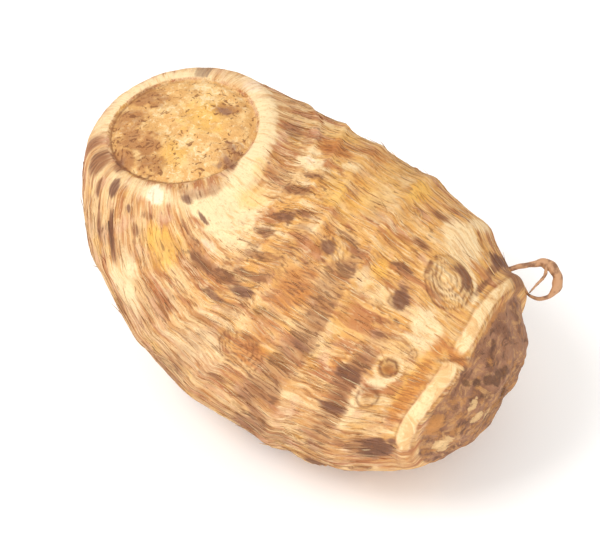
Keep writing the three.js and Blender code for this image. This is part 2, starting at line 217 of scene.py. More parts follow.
def ring_left(ring, angle):
    """How much of a ring is left at an angle, as a share."""
    left = 1.0
    for stretch in (stretch for stretch in WORN_STRETCHES if stretch["at"] == ring["at"]):
        left = left * (1 - stretch["gone"] * bell(turns_from(stretch["angle"], stretch["half"], angle)))
    return left


def ring_height(ring, distance, angle):
    away = (distance - ring["at"]) / ring["width"]
    ridge = ring["height"] * np.exp(-RIDGE["tight"] * np.abs(away) ** ring["sides"])
    below = smoothstep(-away, *RIDGE["steps"]) * (1 - smoothstep(-away, *RIDGE["rises"]))
    uneven = 1 - RIDGE["uneven"] + RIDGE["uneven"] * np.sin(3 * angle + ring["at"])
    strength = uneven * ring_left(ring, angle) * (1 + ring["outer"] * (1 - np.cos(angle)) / 2)
    return strength * (ridge - ring["drop"] * below)


print("rings at", [ring["at"] for ring in RINGS], "mm over the skin from the base end")

# %% Lumps, the base end and the top scar
HOLLOW = 0.35  # how far the skin sinks between two rings, as a share of their height
LUMPS = {"height": 0.4, "length": 9}
BREAK_SCAR = {"radius": 6.5, "depth": 0.8, "rim": 0.35}
BARK = {"height": 0.3, "inside": 15.6}


def hollow_height(distance):
    height = np.zeros_like(distance)
    for low, high in zip(RINGS, RINGS[1:]):
        share = np.clip((distance - low["at"]) / (high["at"] - low["at"]), 0, 1)
        height -= HOLLOW * (low["height"] + high["height"]) / 2 * np.sin(np.pi * share) ** 2
    return height


def lump_height(distance, angle):
    u = distance / LUMPS["length"]
    first = np.sin(u + 1.3) * np.cos(2 * angle + 0.6)
    second = np.sin(1.7 * u + 4.0) * np.sin(3 * angle + 1.9)
    third = np.sin(2.3 * u + 0.7) * np.cos(5 * angle + 3.1)
    return LUMPS["height"] * calm_ends(distance) * (0.5 * first + 0.3 * second + 0.2 * third)


def break_scar_height(distance, angle):
    away = distance / BREAK_SCAR["radius"]
    uneven = 1 + 0.25 * np.sin(3 * angle + 0.4) * np.minimum(away, 1)
    rim = BREAK_SCAR["rim"] * bell((away - 1.1) / 0.25)
    return rim - BREAK_SCAR["depth"] * uneven * bell(away, 4)


def bark_height(distance, angle):
    there = 1 - smoothstep(distance, BARK["inside"] - 3, BARK["inside"] + 1)
    knobs = np.sin(5 * angle + 0.5 * distance) * np.cos(0.75 * distance + 1 + np.sin(2 * angle))
    folds = np.sin(11 * angle - 0.6 * distance) * smoothstep(distance, 4, 10)
    return BARK["height"] * there * (0.7 * knobs + 0.4 * folds)


def main_relief(distance, angle):
    height = sum(ring_height(ring, distance, angle) for ring in RINGS)
    height = height + hollow_height(distance) + lump_height(distance, angle)
    return height + break_scar_height(distance, angle) + bark_height(distance, angle)


def top_scar_relief(share, angle):
    x, y = share * SCAR["radius"] * np.cos(angle), share * SCAR["radius"] * np.sin(angle)
    groove = -SCAR["rim_groove"] * bell((share - 0.93) / 0.05)
    pits = SCAR["pits"] * (1 - share ** 4) * np.sin(0.9 * x + 0.4 * y + 1) * np.cos(0.8 * y - 0.5 * x)
    return SCAR["crown"] * (1 - share * share) + groove + pits


halfway = main_relief(np.full(360, SKIN_LENGTH / 2), np.radians(np.arange(360)))
print(f"half way up, the relief goes from {halfway.min():.2f} to {halfway.max():.2f} mm")

# %% A place on the skin, and the buds
BUDS = table("at angle along across height",
             (25.8, 1, 4.1, 4.3, 1.1), (46.2, 342, 2.2, 2.2, 0.5), (58.0, 118, 3.6, 3.0, 1.0),
             (34.6, 232, 3.2, 2.8, 0.9))
NEARBY = 0.5  # millimetres, to feel which way the skin runs


def place_on_skin(distance, degrees):
    """A point of the smooth skin, and the directions to the side, to the top scar and out."""
    angle = math.radians(degrees)
    point = skin_point(t_at(distance), angle)
    to_top = skin_point(t_at(distance + NEARBY), angle) - point
    to_top /= np.linalg.norm(to_top)
    across = skin_point(t_at(distance), angle + NEARBY / RADIUS_SIDE) - point
    out = np.cross(across, to_top)
    out /= np.linalg.norm(out)
    return point, np.cross(to_top, out), to_top, out


point, side, to_top, out = place_on_skin(BUDS[0]["at"], BUDS[0]["angle"])
print("the main bud sits at", np.round(point, 1), "and faces", np.round(out, 2))

# %% [markdown]
# ## The skin mesh
# The grid follows the rings: one row of points lies on a ring all the way round. It is fine enough,
# under half a millimetre, to hold the stepped rings of the buds and the cracks of the base end as
# real shape. The same grid gives each point its distance and angle, which are kept for the colours.

# %% Rows and columns
COLUMNS = 380
SKIN_ROWS, SCAR_ROWS = 222, 34
CLOSER = 0.045  # rows lie closer together by this at both ends, where the skin turns over

share = np.linspace(0, 1, SKIN_ROWS + 1)[1:]
distances = SKIN_LENGTH * (share - CLOSER * np.sin(2 * np.pi * share))
angles = np.linspace(0, 2 * np.pi, COLUMNS, endpoint=False)
shares = np.linspace(1, 0, SCAR_ROWS + 2)[1:-1]
row_distance, row_angle = np.meshgrid(distances, angles, indexing="ij")
cap_share, cap_angle = np.meshgrid(shares, angles, indexing="ij")
smooth_skin = skin_point(t_at(row_distance + ring_wander(row_distance, row_angle)), row_angle)
scar_rim = skin_point(np.ones_like(cap_angle), cap_angle)
base_point, top_centre = (np.insert(growth_frame(t)[0], 1, 0.0) for t in (0.0, 1.0))
smooth_cap = top_centre + (scar_rim - top_centre) * cap_share[..., None]
smooth = np.concatenate([[base_point], smooth_skin.reshape(-1, 3), smooth_cap.reshape(-1, 3),
                         [top_centre]])
distance_of = np.concatenate([[0], row_distance.ravel(), np.full(cap_share.size + 1, SKIN_LENGTH)])
angle_of = np.concatenate([[0], row_angle.ravel(), cap_angle.ravel(), [0]])
share_of = np.concatenate([np.ones(1 + row_distance.size), cap_share.ravel(), [0]])
print(len(smooth), "points of skin")

# %% Faces, and the way out of the skin at each point
def grid_faces(rings, columns):
    """Quads between the rings, and a fan of triangles at each end."""
    start = 1 + np.arange(rings - 1)[:, None] * columns
    first, beside = start + np.arange(columns), start + (np.arange(columns) + 1) % columns
    quads = np.stack([first, beside, beside + columns, first + columns], -1).reshape(-1, 4)
    last, start = 1 + rings * columns, 1 + (rings - 1) * columns
    low = [(0, 1 + (c + 1) % columns, 1 + c) for c in range(columns)]
    high = [(last, start + c, start + (c + 1) % columns) for c in range(columns)]
    return quads.tolist() + low + high


faces = grid_faces(SKIN_ROWS + SCAR_ROWS, COLUMNS)


def new_mesh(name, points, polygons):
    mesh = bpy.data.meshes.new(name)
    mesh.from_pydata((np.asarray(points) * MM).tolist(), [], polygons)
    mesh.polygons.foreach_set("use_smooth", np.ones(len(mesh.polygons), bool))
    mesh.update()
    return mesh


def normals_of(mesh):
    flat = np.zeros(len(mesh.vertices) * 3, np.float32)
    mesh.vertex_normals.foreach_get("vector", flat)
    return flat.reshape(-1, 3).astype(float)


smooth_mesh = new_mesh("smooth_skin", smooth, faces)
outward = normals_of(smooth_mesh)
bpy.data.meshes.remove(smooth_mesh)
print("the middle of the top scar faces", np.round(outward[-1], 2))

# %% [markdown]
# ## Fine relief
# Between the rings the skin is not smooth: dry fibres lift it into fine ridges that run to the top
# scar, and the dark base end is cracked. Noise makes both. For the ridges the noise is read in a space
# that is stretched along the corm, and wrapped round it, so the ridges are long and have no seam.

# %% Noise over the points
def noise_at(points, size):
    """Smooth noise from -1 to 1 whose bumps are about this size; moved points read other bumps."""
    return np.array([noise.noise(Vector(p)) for p in points / size])


GRAIN_RADIUS = 24.0
# The fibres turn aside as they rise: degrees per millimetre, from a distance on, within a half angle.
LEAN = {"per_mm": 0.6, "from": 55, "middle": 310, "half": 70}


def lean_at(distance, angle):
    """How far round the corm the fibres have turned, as an angle."""
    turned = np.maximum(distance - LEAN["from"], 0) * hump(turns_from(LEAN["middle"], LEAN["half"], angle))
    return math.radians(LEAN["per_mm"]) * turned


leaned = angle_of + lean_at(distance_of, angle_of)
grain = np.stack([GRAIN_RADIUS * np.cos(leaned), GRAIN_RADIUS * np.sin(leaned), distance_of], -1)
on_scar = share_of < 1
grain[on_scar, :2] *= share_of[on_scar, None]
body = ~on_scar
# Ridges 0.9 mm wide and eight times as long lie on wider ones of 2.2 mm.
ridges = noise_at(grain * (1, 1, 0.12), 0.9) * 0.6 + noise_at(grain * (1, 1, 0.2), 2.2)
lumps_small = noise_at(smooth, 3.0)
crumbs = noise_at(smooth, 1.1)
print(f"ridge noise from {ridges.min():.2f} to {ridges.max():.2f}")

# %% Buds and root scars as heights
# Profiles from the middle out: a share of the size, and the height there.
BUD_PROFILE = [(0, 1.08), (0.26, 1.0), (0.4, 0.8), (0.58, 0.85), (0.7, 0.5), (0.86, 0.55), (1.0, 0.1),
               (1.15, 0)]
BUTTON_PROFILE = [(0, 0.02), (0.3, 0.08), (0.5, 0.36), (0.78, 0.42), (1.0, 0.15), (1.2, 0)]
ROOT_SCARS = table("at angle radius",
                   (26.9, 312, 1.4), (27.9, 297, 1.7), (31.2, 338, 1.2), (24.6, 86, 1.6),
                   (35.8, 104, 1.3), (26.2, 142, 1.5), (26.0, 246, 1.6), (46.0, 262, 1.3))
SMALL_SCARS = table("at angle radius",
                    (33.5, 333, 0.75), (32.2, 327, 0.7), (30.6, 330, 0.6), (37.1, 20, 0.8),
                    (24.4, 322, 0.7), (44.0, 65, 0.9), (31.0, 170, 0.9), (36.0, 262, 0.8),
                    (48.8, 295, 0.8), (30.5, 108, 0.8), (42.8, 128, 0.9), (24.0, 205, 0.9))


def local_reach(spot, along, across):
    """How far each point lies from a spot, as a share of its size, and its place beside and above it."""
    point, side, to_top, _ = place_on_skin(spot["at"], spot["angle"])
    away = smooth - point
    x, y = away @ side / across, away @ to_top / along
    reach = np.sqrt(x * x + y * y + (away @ np.cross(side, to_top) / max(along, across)) ** 2)
    return reach, x, y


def profile_height(reach, profile):
    return np.interp(reach, *zip(*profile), right=0)


scars = ROOT_SCARS + SMALL_SCARS
bud_reach = [local_reach(bud, bud["along"], bud["across"]) for bud in BUDS]
scar_reach = [local_reach(scar, scar["radius"], scar["radius"])[0] for scar in scars]
raised = [bud["height"] * profile_height(reach, BUD_PROFILE) for bud, (reach, _, _) in zip(BUDS, bud_reach)]
raised += [min(1, scar["radius"]) * profile_height(reach, BUTTON_PROFILE)
           for scar, reach in zip(scars, scar_reach)]
bud_relief = sum(raised)
print(f"{len(BUDS)} buds and {len(scars)} root scars, up to {bud_relief.max():.2f} mm high")

# %% The finished skin
FLAT_LIFT, FLAT_BLEND = 0.6, 0.6
CORK_EDGE = {"wobble": 0.35, "size": 1.2, "from": 15.7, "to": 16.6}
FINE = {"ridges": 0.13, "skin lumps": 0.08, "cork lumps": 0.24, "cork crumbs": 0.18, "scar crumbs": 0.1}

edge = CORK_EDGE["wobble"] * noise_at(smooth + 5, CORK_EDGE["size"])
bark_there = (1 - smoothstep(distance_of + edge, CORK_EDGE["from"], CORK_EDGE["to"])) * body
skin_there = smoothstep(distance_of, 19, 22) * body
height = np.where(body, main_relief(distance_of, angle_of), top_scar_relief(share_of, angle_of))
height += bud_relief
height += skin_there * calm_ends(distance_of) ** 0.3 * FINE["ridges"] * ridges
height += bark_there * (FINE["cork lumps"] * lumps_small + FINE["cork crumbs"] * crumbs)
height += on_scar * FINE["scar crumbs"] * crumbs
height += skin_there * FINE["skin lumps"] * lumps_small
relief = smooth + outward * height[:, None]
# The underside settles into a small flat on the ground, with a soft bend round it.
over = relief[:, 2] - FLAT_LIFT
bent = (over + FLAT_BLEND) ** 2 / (4 * FLAT_BLEND)
settled = np.where(over > FLAT_BLEND, over, np.where(over < -FLAT_BLEND, 0, bent))
relief[:, 2] = settled
print(f"relief from {height.min():.2f} to {height.max():.2f} mm")
print(int((settled == 0).sum()), "points on the ground")

# %% [markdown]
# ## The dry rootlet
# One thin root has dried and curled beside the base end, with a loose strand across its loop. A curve
# with a round bevel would be quick, but a plain tube looks like wire: here a section is carried along
# the route; it swells and thins on the way, and wrinkles across, as a root does when it dries.

# %% The rootlet's route
ROOTLET = {"at": 20.2, "angle": 60, "centre": (-3.2, 3.4), "loop": 2.8, "swing": 280, "every": 35,
           "drift": 0.14, "thick": 1.2, "sink": 1.8}
ROOTLET_SIDES, ROOTLET_STEPS = 12, 120
BETWEEN = 24  # points of the curve between two given ones


def loop_point(swing, out_of_loop=1.0):
    """A place on the loop, as a distance towards the top scar and a distance out of the skin."""
    reach = ROOTLET["loop"] * out_of_loop
    return (ROOTLET["centre"][0] + reach * math.cos(math.radians(swing)),
            ROOTLET["centre"][1] + reach * math.sin(math.radians(swing)))


def rootlet_route(local):
    """Points of a route through places near the loop, in millimetres; the loop drifts aside as it goes."""
    point, side, to_top, out = place_on_skin(ROOTLET["at"], ROOTLET["angle"])
    angle = math.radians(ROOTLET["angle"])
    own_distance = np.array([ROOTLET["at"] - ring_wander(ROOTLET["at"], angle)])
    lifted = point + out * main_relief(own_distance, angle)[0]
    lifted[2] -= FLAT_LIFT
    return [lifted + side * ROOTLET["drift"] * i + to_top * y + out * z for i, (y, z) in enumerate(local)]


def smooth_route(points, steps):
    """A Catmull-Rom curve through the points, cut into equal steps."""
    points = np.array(points)
    padded = np.concatenate([[2 * points[0] - points[1]], points, [2 * points[-1] - points[-2]]])
    dense = []
    for i in range(len(points) - 1):
        a, b, c, d = padded[i:i + 4]
        for u in np.linspace(0, 1, BETWEEN, endpoint=False):
            dense.append(0.5 * (2 * b + (c - a) * u + (2 * a - 5 * b + 4 * c - d) * u * u
                                + (3 * b - a - 3 * c + d) * u ** 3))
    dense = np.array(dense + [points[-1]])
    gone = np.concatenate([[0], np.cumsum(np.linalg.norm(np.diff(dense, axis=0), axis=1))])
    at = np.linspace(0, gone[-1], steps)
    return np.stack([np.interp(at, gone, dense[:, k]) for k in range(3)], -1), gone[-1]


print("the loop begins", np.round(loop_point(0), 1), "mm towards the top scar and out of the skin")

# %% A tube along a route
def tube(route, radii):
    """Points and faces of a closed tube along a route, with a round end."""
    along = np.gradient(route, axis=0)
    along /= np.linalg.norm(along, axis=1, keepdims=True)
    across = np.cross(along[0], (0, 0, 1))
    across /= np.linalg.norm(across)
    points = [route[0]]
    for place, way, radius in zip(route, along, radii):
        across = across - way * (across @ way)
        across /= np.linalg.norm(across)
        other = np.cross(way, across)
        for k in range(ROOTLET_SIDES):
            turn = 2 * math.pi * k / ROOTLET_SIDES
            points.append(place + radius[k] * (across * math.cos(turn) + other * math.sin(turn)))
    points.append(route[-1])
    return np.array(points), grid_faces(len(route), ROOTLET_SIDES)


print("a tube has", len(grid_faces(ROOTLET_STEPS, ROOTLET_SIDES)), "faces")

# %% The rootlet and its strand: places on the route, and thickness along it
ROOTS = {
    "main": {"local": [(0.4, -ROOTLET["sink"]), (0.4, 0.2), (0.1, 1.8)]
             + [loop_point(swing) for swing in range(0, ROOTLET["swing"] + 1, ROOTLET["every"])],
             "share": (0, 0.25, 0.4, 0.62, 0.74, 1), "times": (0.8, 0.65, 1.4, 1.35, 0.6, 0.3)},
    "strand": {"local": [loop_point(swing, out_of_loop) for swing, out_of_loop
                         in ((50, 0.95), (75, 0.4), (240, 0.35), (245, 0.9))],
               "share": (0, 0.5, 1), "times": (0.5, 0.4, 0.2)},
}
WRINKLES = [(0.07, 31, 2), (0.06, 67, -1)]  # a share of the thickness, and waves along and round it
share_along = np.linspace(0, 1, ROOTLET_STEPS)[:, None]
turn_round = np.linspace(0, 2 * np.pi, ROOTLET_SIDES, endpoint=False)[None]
wrinkles = sum(deep * np.sin(along * share_along + round_it * turn_round)
               for deep, along, round_it in WRINKLES)
rootlet_points, rootlet_faces = np.zeros((0, 3)), []
for name, root in ROOTS.items():
    route, length = smooth_route(rootlet_route(root["local"]), ROOTLET_STEPS)
    thick = ROOTLET["thick"] / 2 * np.interp(share_along, root["share"], root["times"])
    points, root_faces = tube(route, thick * (1 + wrinkles))
    rootlet_faces += [tuple(corner + len(rootlet_points) for corner in face) for face in root_faces]
    rootlet_points = np.concatenate([rootlet_points, points])
    print(f"{name} root: {length:.1f} mm long")

# %% [markdown]
# ## Into the frame
# The solid has its origin on the ground under the middle of its box, so the points made here are
# moved by the same rule: the middle of everything goes to the middle of the frame's box.

# %% Skin and rootlet objects
low, high = (np.array(corner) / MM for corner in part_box("corm"))
every = np.concatenate([relief, rootlet_points])
shift = (low + high) / 2 - (every.min(0) + every.max(0)) / 2
shift[2] = low[2] - relief[:, 2].min()


def put(name, data):
    """Puts an object with this mesh, lamp or lens into the scene."""
    made = bpy.data.objects.new(name, data)
    bpy.context.collection.objects.link(made)
    return made


skin = put("corm_skin", new_mesh("corm_skin", relief + shift, faces))
rootlet = put("dry_rootlet", new_mesh("dry_rootlet", rootlet_points + shift, rootlet_faces))
print("moved by", np.round(shift, 2), "mm; the skin has", len(skin.data.vertices), "points")

# %% [markdown]
# ## Where each colour grows
# The colours of a corm follow its growth. Rings are pale where the skin was rubbed, dark fibres start
# just above a ring, and the skin just below the next ring is more orange. They could be painted by hand
# on the mesh; here each is a value from 0 to 1 on the points of the mesh, made of bands round the corm
# and of soft patches, each with a place, a length along the corm and a width round it.

# %% Bands round the corm: where on the ring, how much, and how wide
PALE_RINGS = table("shift much reach edge",
                   (0.0, 0.0, 1.75, 5), (0.6, 0.4, 1.5, 2), (-1.6, 0.3, 2.2, 2), (-0.4, 0.3, 1.4, 2),
                   (0.0, 0.15, 1.3, 2), (0.0, 0.1, 1.4, 2), (1.6, 0.6, 2.2, 2))
# The lip's pale ribbon is widest at one angle, thins to both sides, and lies a little above the lip's
# middle; it starts between the first two angles and fades out between the last two.
RIBBON = {"angle": 308, "half": 60, "thin": 0.85, "wide": 1.15, "above": (0.3, 0.85), "starts": (268, 277),
          "fades": (-48, -26)}
DARK_BANDS = [(29.8, 35.0, 0.55), (40.0, 48.0, 0.7), (53.0, 60.5, 0.5), (62.5, 70.0, 0.4),
              (72.5, 80.0, 0.35)]  # from, to, strength
WARM_BANDS = [(22.0, 2.0, 0.6), (37.6, 1.8, 0.3), (49.5, 2.6, 0.6), (59.0, 2.2, 0.3),
              (68.5, 2.5, 0.2)]  # middle, reach, strength
GOLDEN = {"full": 60, "none": 84, "angle": 25}
print(len(DARK_BANDS), "dark bands and", len(WARM_BANDS), "warm ones")

# %% The bands as values
# Slow noise makes a band uneven, and streaky noise, longer along the grain, makes its edges ragged.
uneven = 0.5 + 0.9 * noise_at(smooth + 40, 6.0)
ragged = 0.6 * noise_at(grain * (1, 1, 0.25) + 90, 1.3) + 0.4 * noise_at(grain * (1, 1, 0.4) + 30, 0.6)
pale_rings, dark_bands, warm_bands = np.zeros((3, len(smooth)))
for ring, pale in zip(RINGS, PALE_RINGS):
    away = (distance_of - ring["at"] - pale["shift"] + 0.35 * ragged) / pale["reach"]
    pale_rings = np.maximum(pale_rings, pale["much"] * bell(away, pale["edge"]) * ring_left(ring, angle_of))
pale_rings *= np.clip(0.45 + 0.8 * uneven, 0, 1)
widest = hump(turns_from(RIBBON["angle"], RIBBON["half"], angle_of)) ** 0.5
ribbon_half = RIBBON["thin"] + (RIBBON["wide"] - RIBBON["thin"]) * widest
above_lip = RIBBON["above"][0] + (RIBBON["above"][1] - RIBBON["above"][0]) * widest
from_ribbon = (distance_of - LIP["at"] - above_lip + 0.2 * ragged) / ribbon_half
rubbed = bell(from_ribbon, 7) * ring_left(LIP, angle_of) * (0.55 + 0.45 * widest)
degrees = np.degrees(angle_of)
rubbed *= smoothstep(degrees, *RIBBON["starts"]) + smoothstep(-degrees, *RIBBON["fades"])
for low, high, much in DARK_BANDS:
    starts = smoothstep(distance_of + 0.8 * ragged, low - 0.5, low + 0.9)
    dark_bands += much * starts * (1 - smoothstep(distance_of + ragged, (low + high) / 2, high))
for at, reach, much in WARM_BANDS:
    warm_bands += much * bell((distance_of - at) / reach)
golden = smoothstep(distance_of, GOLDEN["none"], GOLDEN["full"])
golden = golden * (0.55 + 0.45 * np.cos(angle_of - math.radians(GOLDEN["angle"])))
for name, band in {"pale": pale_rings, "dark": dark_bands, "golden": golden}.items():
    print(f"{name} bands up to {band.max():.2f}")

# %% Pale and warm patches on the side that shows
# Each is given as distance, angle, half length, half angle, strength.
PATCHES = {
    "cream": [
        (78, 325, 8, 17, 1.0), (83.5, 317, 3, 14, 1.0), (70, 320, 4.5, 8, 0.7), (64, 323, 3.5, 4, 0.5),
        (84.6, 283, 1.7, 14, 1.0), (69, 12, 7.5, 5, 0.9), (70, 20, 4.5, 3, 0.7), (68.5, 256, 4.5, 9, 0.9),
        (57, 293, 5, 2.2, 0.8), (56, 284, 5, 2, 0.6), (64, 46, 7, 5, 0.6), (53.5, 18, 3, 4, 0.6),
        (60, 351, 5, 1.6, 0.6), (60, 335, 5, 1.6, 0.6), (66, 359.5, 7, 1.4, 0.7), (63, 10, 5, 1.5, 0.6),
        (25.8, 334, 4, 12, 0.85), (27.5, 304, 2.2, 2.6, 0.8), (29.6, 290, 1.2, 16, 0.6), (27, 286, 3, 5, 0.5),
        (27.5, 25, 4.2, 12, 1.0), (29, 46, 1.8, 12, 0.7), (22, 281, 1.8, 1.2, 0.9), (43.5, 12, 4.5, 14, 0.5),
        (38.5, 283, 2.2, 10, 0.45), (38, 340, 2, 8, 0.5), (86.5, 150, 2.4, 62, 0.9), (84.3, 12, 3.2, 62, 0.9),
        (82.5, 344, 2.2, 12, 0.7), (72.5, 266, 3, 8, 0.7), (56, 274, 7, 16, 0.5), (66, 333, 5, 1.6, 0.7),
        (57, 272, 4, 3, 0.6), (42, 33, 2, 7, 0.6), (70, 297, 4, 1.6, 0.6), (54, 346, 2.6, 4, 0.6),
        (66, 281, 4, 2, 0.5), (12.5, 262, 1.5, 11, 0.9), (8.5, 290, 1.1, 10, 0.7), (11, 305, 0.8, 7, 0.5),
        (6, 285, 1, 12, 0.7),
    ],
    "yellow": [
        (75.5, 286, 4.6, 11, 0.95), (75, 297, 3.5, 3, 0.6), (79, 338, 6, 7, 0.6), (82, 352, 2, 6, 0.5),
        (37, 346, 1.8, 5, 0.9), (39, 32, 2.4, 11, 1.0), (54, 3, 4.5, 9, 0.7), (46, 10, 5, 14, 0.6),
        (43, 35, 6, 22, 0.5), (62, 40, 8, 12, 0.5), (27, 283, 2, 4, 0.4), (38, 318, 2, 12, 0.4),
        (22.6, 308, 1.8, 19, 0.75), (24, 350, 1.5, 6, 0.4),
    ],
    "white": [
        (84.4, 283, 1.6, 9, 1.0), (70, 13, 3.5, 3, 0.7), (73.5, 308, 4, 3, 0.6), (84, 70, 2, 12, 0.6),
        (79, 322, 3, 5, 0.4),
    ],
    "orange": [
        (22.2, 305, 1.7, 22, 0.9), (21.8, 331, 1.5, 8, 0.7), (79, 357, 2.4, 5, 0.6), (62, 26, 8, 8, 1.0),
        (48.5, 292, 3.5, 8, 0.8), (49, 322, 3.5, 12, 0.8), (51.5, 38, 1.4, 5, 0.8), (35.3, 305, 1.5, 3, 0.8),
        (50, 345, 3, 5, 0.5), (67, 275, 4, 6, 0.4), (76, 300, 6, 2.5, 0.6), (34, 27, 2.5, 3, 0.6),
        (16, 15, 1.0, 22, 0.6), (17.5, 262, 1, 8, 0.6), (25, 285, 2, 4, 0.4), (15, 285, 1.2, 9, 0.7),
        # The orange patch at 18.8 mm and 331 degrees is painted shade in the crack through the lip.
        (39, 357, 1.5, 3, 0.5), (18.8, 331, 2.6, 4, 0.9),
    ],
}
print({kind: len(spots) for kind, spots in PATCHES.items()})

# %% Dark patches on the side that shows
PATCHES |= {
    "brown": [
        (76.3, 257, 4.0, 3, 1.0), (77.5, 246, 3, 2.2, 0.8), (78.5, 273, 1.2, 4, 0.7), (81, 280, 0.8, 5, 0.5),
        (70, 302, 4.5, 3.6, 1.0), (64.5, 307, 4.5, 3, 1.0), (57, 316, 3.6, 2.2, 1.0), (78, 301, 6, 1.4, 0.7),
        (66, 331, 4, 2.2, 0.9), (62, 322, 4.5, 2, 0.7), (64, 341, 5, 3, 0.9), (58.5, 347, 2.8, 2, 0.8),
        (67, 355, 7, 2.8, 0.85), (65, 5, 6, 1.8, 0.8), (71, 29, 3, 3, 0.4), (77.5, 357, 3.5, 5, 0.5),
        (78, 30, 2.5, 10, 0.6), (66, 272, 4, 8, 0.35), (58, 276, 4, 3, 0.4), (59, 289, 4.5, 2, 0.5),
        (50, 271, 2.2, 1.8, 0.9), (47, 251, 2, 5, 0.4), (42.8, 296, 3.2, 24, 0.6), (44, 328, 3.2, 12, 0.55),
        (44.5, 347, 3.5, 4, 0.7), (31.8, 300, 2.5, 17, 0.85), (31.3, 330.5, 0.8, 1.6, 0.8),
        (32, 322, 0.9, 1.6, 0.7), (33.8, 352, 2, 1.6, 0.9), (33, 7.5, 2.6, 2.2, 0.8), (33, 28, 2.6, 2.2, 0.7),
        (29, 271, 1.2, 3, 0.7), (47, 338, 3, 3.6, 1.0), (62, 313, 3, 2.4, 0.8), (86.4, 312, 1.1, 17, 0.6),
        (16.4, 308, 0.9, 26, 0.5), (16.6, 0, 1, 30, 0.35), (51, 325, 6, 14, 0.35), (30.4, 312, 1.4, 5, 0.7),
        (38, 256, 3, 7, 0.5), (18.5, 48, 3, 14, 0.8), (22.4, 47, 1.6, 12, 0.8), (84.5, 230, 2.2, 9, 0.9),
        (86.3, 247, 1.3, 7, 0.8), (84, 212, 2, 8, 0.7), (82, 243, 1.6, 3, 0.8), (32, 262, 2, 8, 0.5),
        (44, 262, 3, 9, 0.4), (20.6, 14, 0.5, 14, 0.9), (21.4, 33, 0.8, 11, 0.9), (25, 268, 3, 9, 0.7),
    ],
    "grey": [
        (83.6, 255, 1.5, 4.5, 1.0), (77, 257, 3, 2, 0.8), (81.6, 268, 0.8, 2, 0.9), (85.2, 303, 0.8, 4, 0.7),
        (81.5, 310, 2.2, 1.4, 0.9), (57.5, 308, 4, 2.4, 1.0), (50, 307, 3, 3, 0.4), (62, 299, 3, 2, 0.7),
        (32, 340, 1.2, 5.5, 1.0), (32, 287, 2.4, 3, 0.7), (32, 303, 2.6, 3, 0.8), (23, 268, 2.6, 9, 1.0),
        (20.8, 275, 1, 3, 0.8), (22.2, 48, 1.5, 13, 0.9), (63, 341, 4, 2, 0.5), (42, 305, 3, 3, 0.5),
        (43, 338, 3, 3, 0.4), (14.4, 326, 2.4, 6, 0.9), (10, 280, 2, 9, 0.5), (12, 0, 3, 18, 0.5),
    ],
    # The crevice patches are painted shade: dark lines where the cork has cracks that the mesh doesn't have.
    "crevice_shade": [
        (14.4, 320, 1.0, 3, 0.8), (12.4, 324, 1.4, 4, 0.9), (10.6, 330, 1.2, 6, 1.0), (9, 338, 1.3, 10, 1.0),
        (8, 350, 1.0, 10, 0.8), (9.5, 316, 1.0, 4, 0.6), (7, 272, 0.9, 8, 0.5),
    ],
}
print({kind: len(spots) for kind, spots in PATCHES.items()})

# %% Patches on the side that doesn't show, and the value of all of them
# How many patches of a kind there are, and how far above a ring they lie.
HIDDEN = {"from": 62, "to": 238, "seed": 5}
HIDDEN_KINDS = {"cream": (20, -2.0), "white": (4, -2.0), "yellow": (8, 6.0), "orange": (18, -2.2),
                "brown": (40, 4.2), "grey": (18, 2.4), "crevice_shade": (0, 0)}


def hidden_patches(kind, draw):
    """Patches of one colour for the side that doesn't show, each at its usual place beside a ring."""
    count, above = HIDDEN_KINDS[kind]
    made = []
    for _ in range(count):
        ring = RINGS[draw.integers(1, len(RINGS))]
        at = ring["at"] + above + draw.uniform(-1.5, 1.5)
        along, half = draw.uniform(1.4, 5.0), draw.uniform(1.5, 7.0)
        made.append((at, draw.uniform(HIDDEN["from"], HIDDEN["to"]), along, half, draw.uniform(0.4, 0.9)))
    return [spot for spot in made if spot[0] < SKIN_LENGTH - 1]


def patch_value(spots):
    """The strongest patch at each point; each leans with the grain, and noise makes its edge ragged."""
    value = np.zeros(len(smooth))
    for at, angle, along, half, much in spots:
        turned = turns_from(angle, half, leaned - lean_at(at, math.radians(angle)))
        reach = np.hypot((distance_of - at) / along, turned)
        value = np.maximum(value, much * (1 - smoothstep(reach + 0.45 * ragged, 0.45, 1.4)))
    return value * body


draw = np.random.default_rng(HIDDEN["seed"])
patch = {kind: patch_value(spots + hidden_patches(kind, draw)) for kind, spots in PATCHES.items()}
print({kind: round(float(value.mean()), 2) for kind, value in patch.items()})

# %% Patches on the top scar: direction, share of the radius, size in mm, strength
SCAR_PATCHES = {
    "brown": [(154, 0.75, 3.6, 0.8), (244, 0.55, 3.0, 0.9), (226, 0.66, 3.2, 0.8), (268, 0.72, 2.4, 0.8),
              (241, 0.88, 2.6, 0.9), (190, 0.75, 3.4, 0.7), (52, 0.62, 2.2, 0.7), (345, 0.85, 2.6, 0.7)],
    "grey": [(49, 0.6, 1.5, 0.8), (356, 0.8, 1.6, 0.8), (344, 0.9, 1.5, 0.8), (333, 0.88, 1.1, 0.8),
             (23, 0.8, 1.1, 0.6), (241, 0.95, 1.2, 0.7)],
    "cream": [(306, 0.3, 2.0, 0.9), (323, 0.57, 1.7, 0.9), (296, 0.77, 1.6, 0.5), (147, 0.37, 2.2, 0.7),
              (87, 0.6, 2.6, 0.7), (100, 0.85, 2.4, 0.6)],
    "yellow": [(60, 0.35, 4.5, 0.7), (290, 0.5, 3.5, 0.6)],
}
scar_x = share_of * SCAR["radius"] * np.cos(angle_of)
scar_y = share_of * SCAR["radius"] * np.sin(angle_of)
wobble = 0.5 * noise_at(smooth, 1.6) + 0.4 * noise_at(smooth + 9, 0.7)


def lay(kind, value):
    """Lays a value over those of its kind: at each point the stronger one stays."""
    patch[kind] = np.maximum(patch[kind], value)


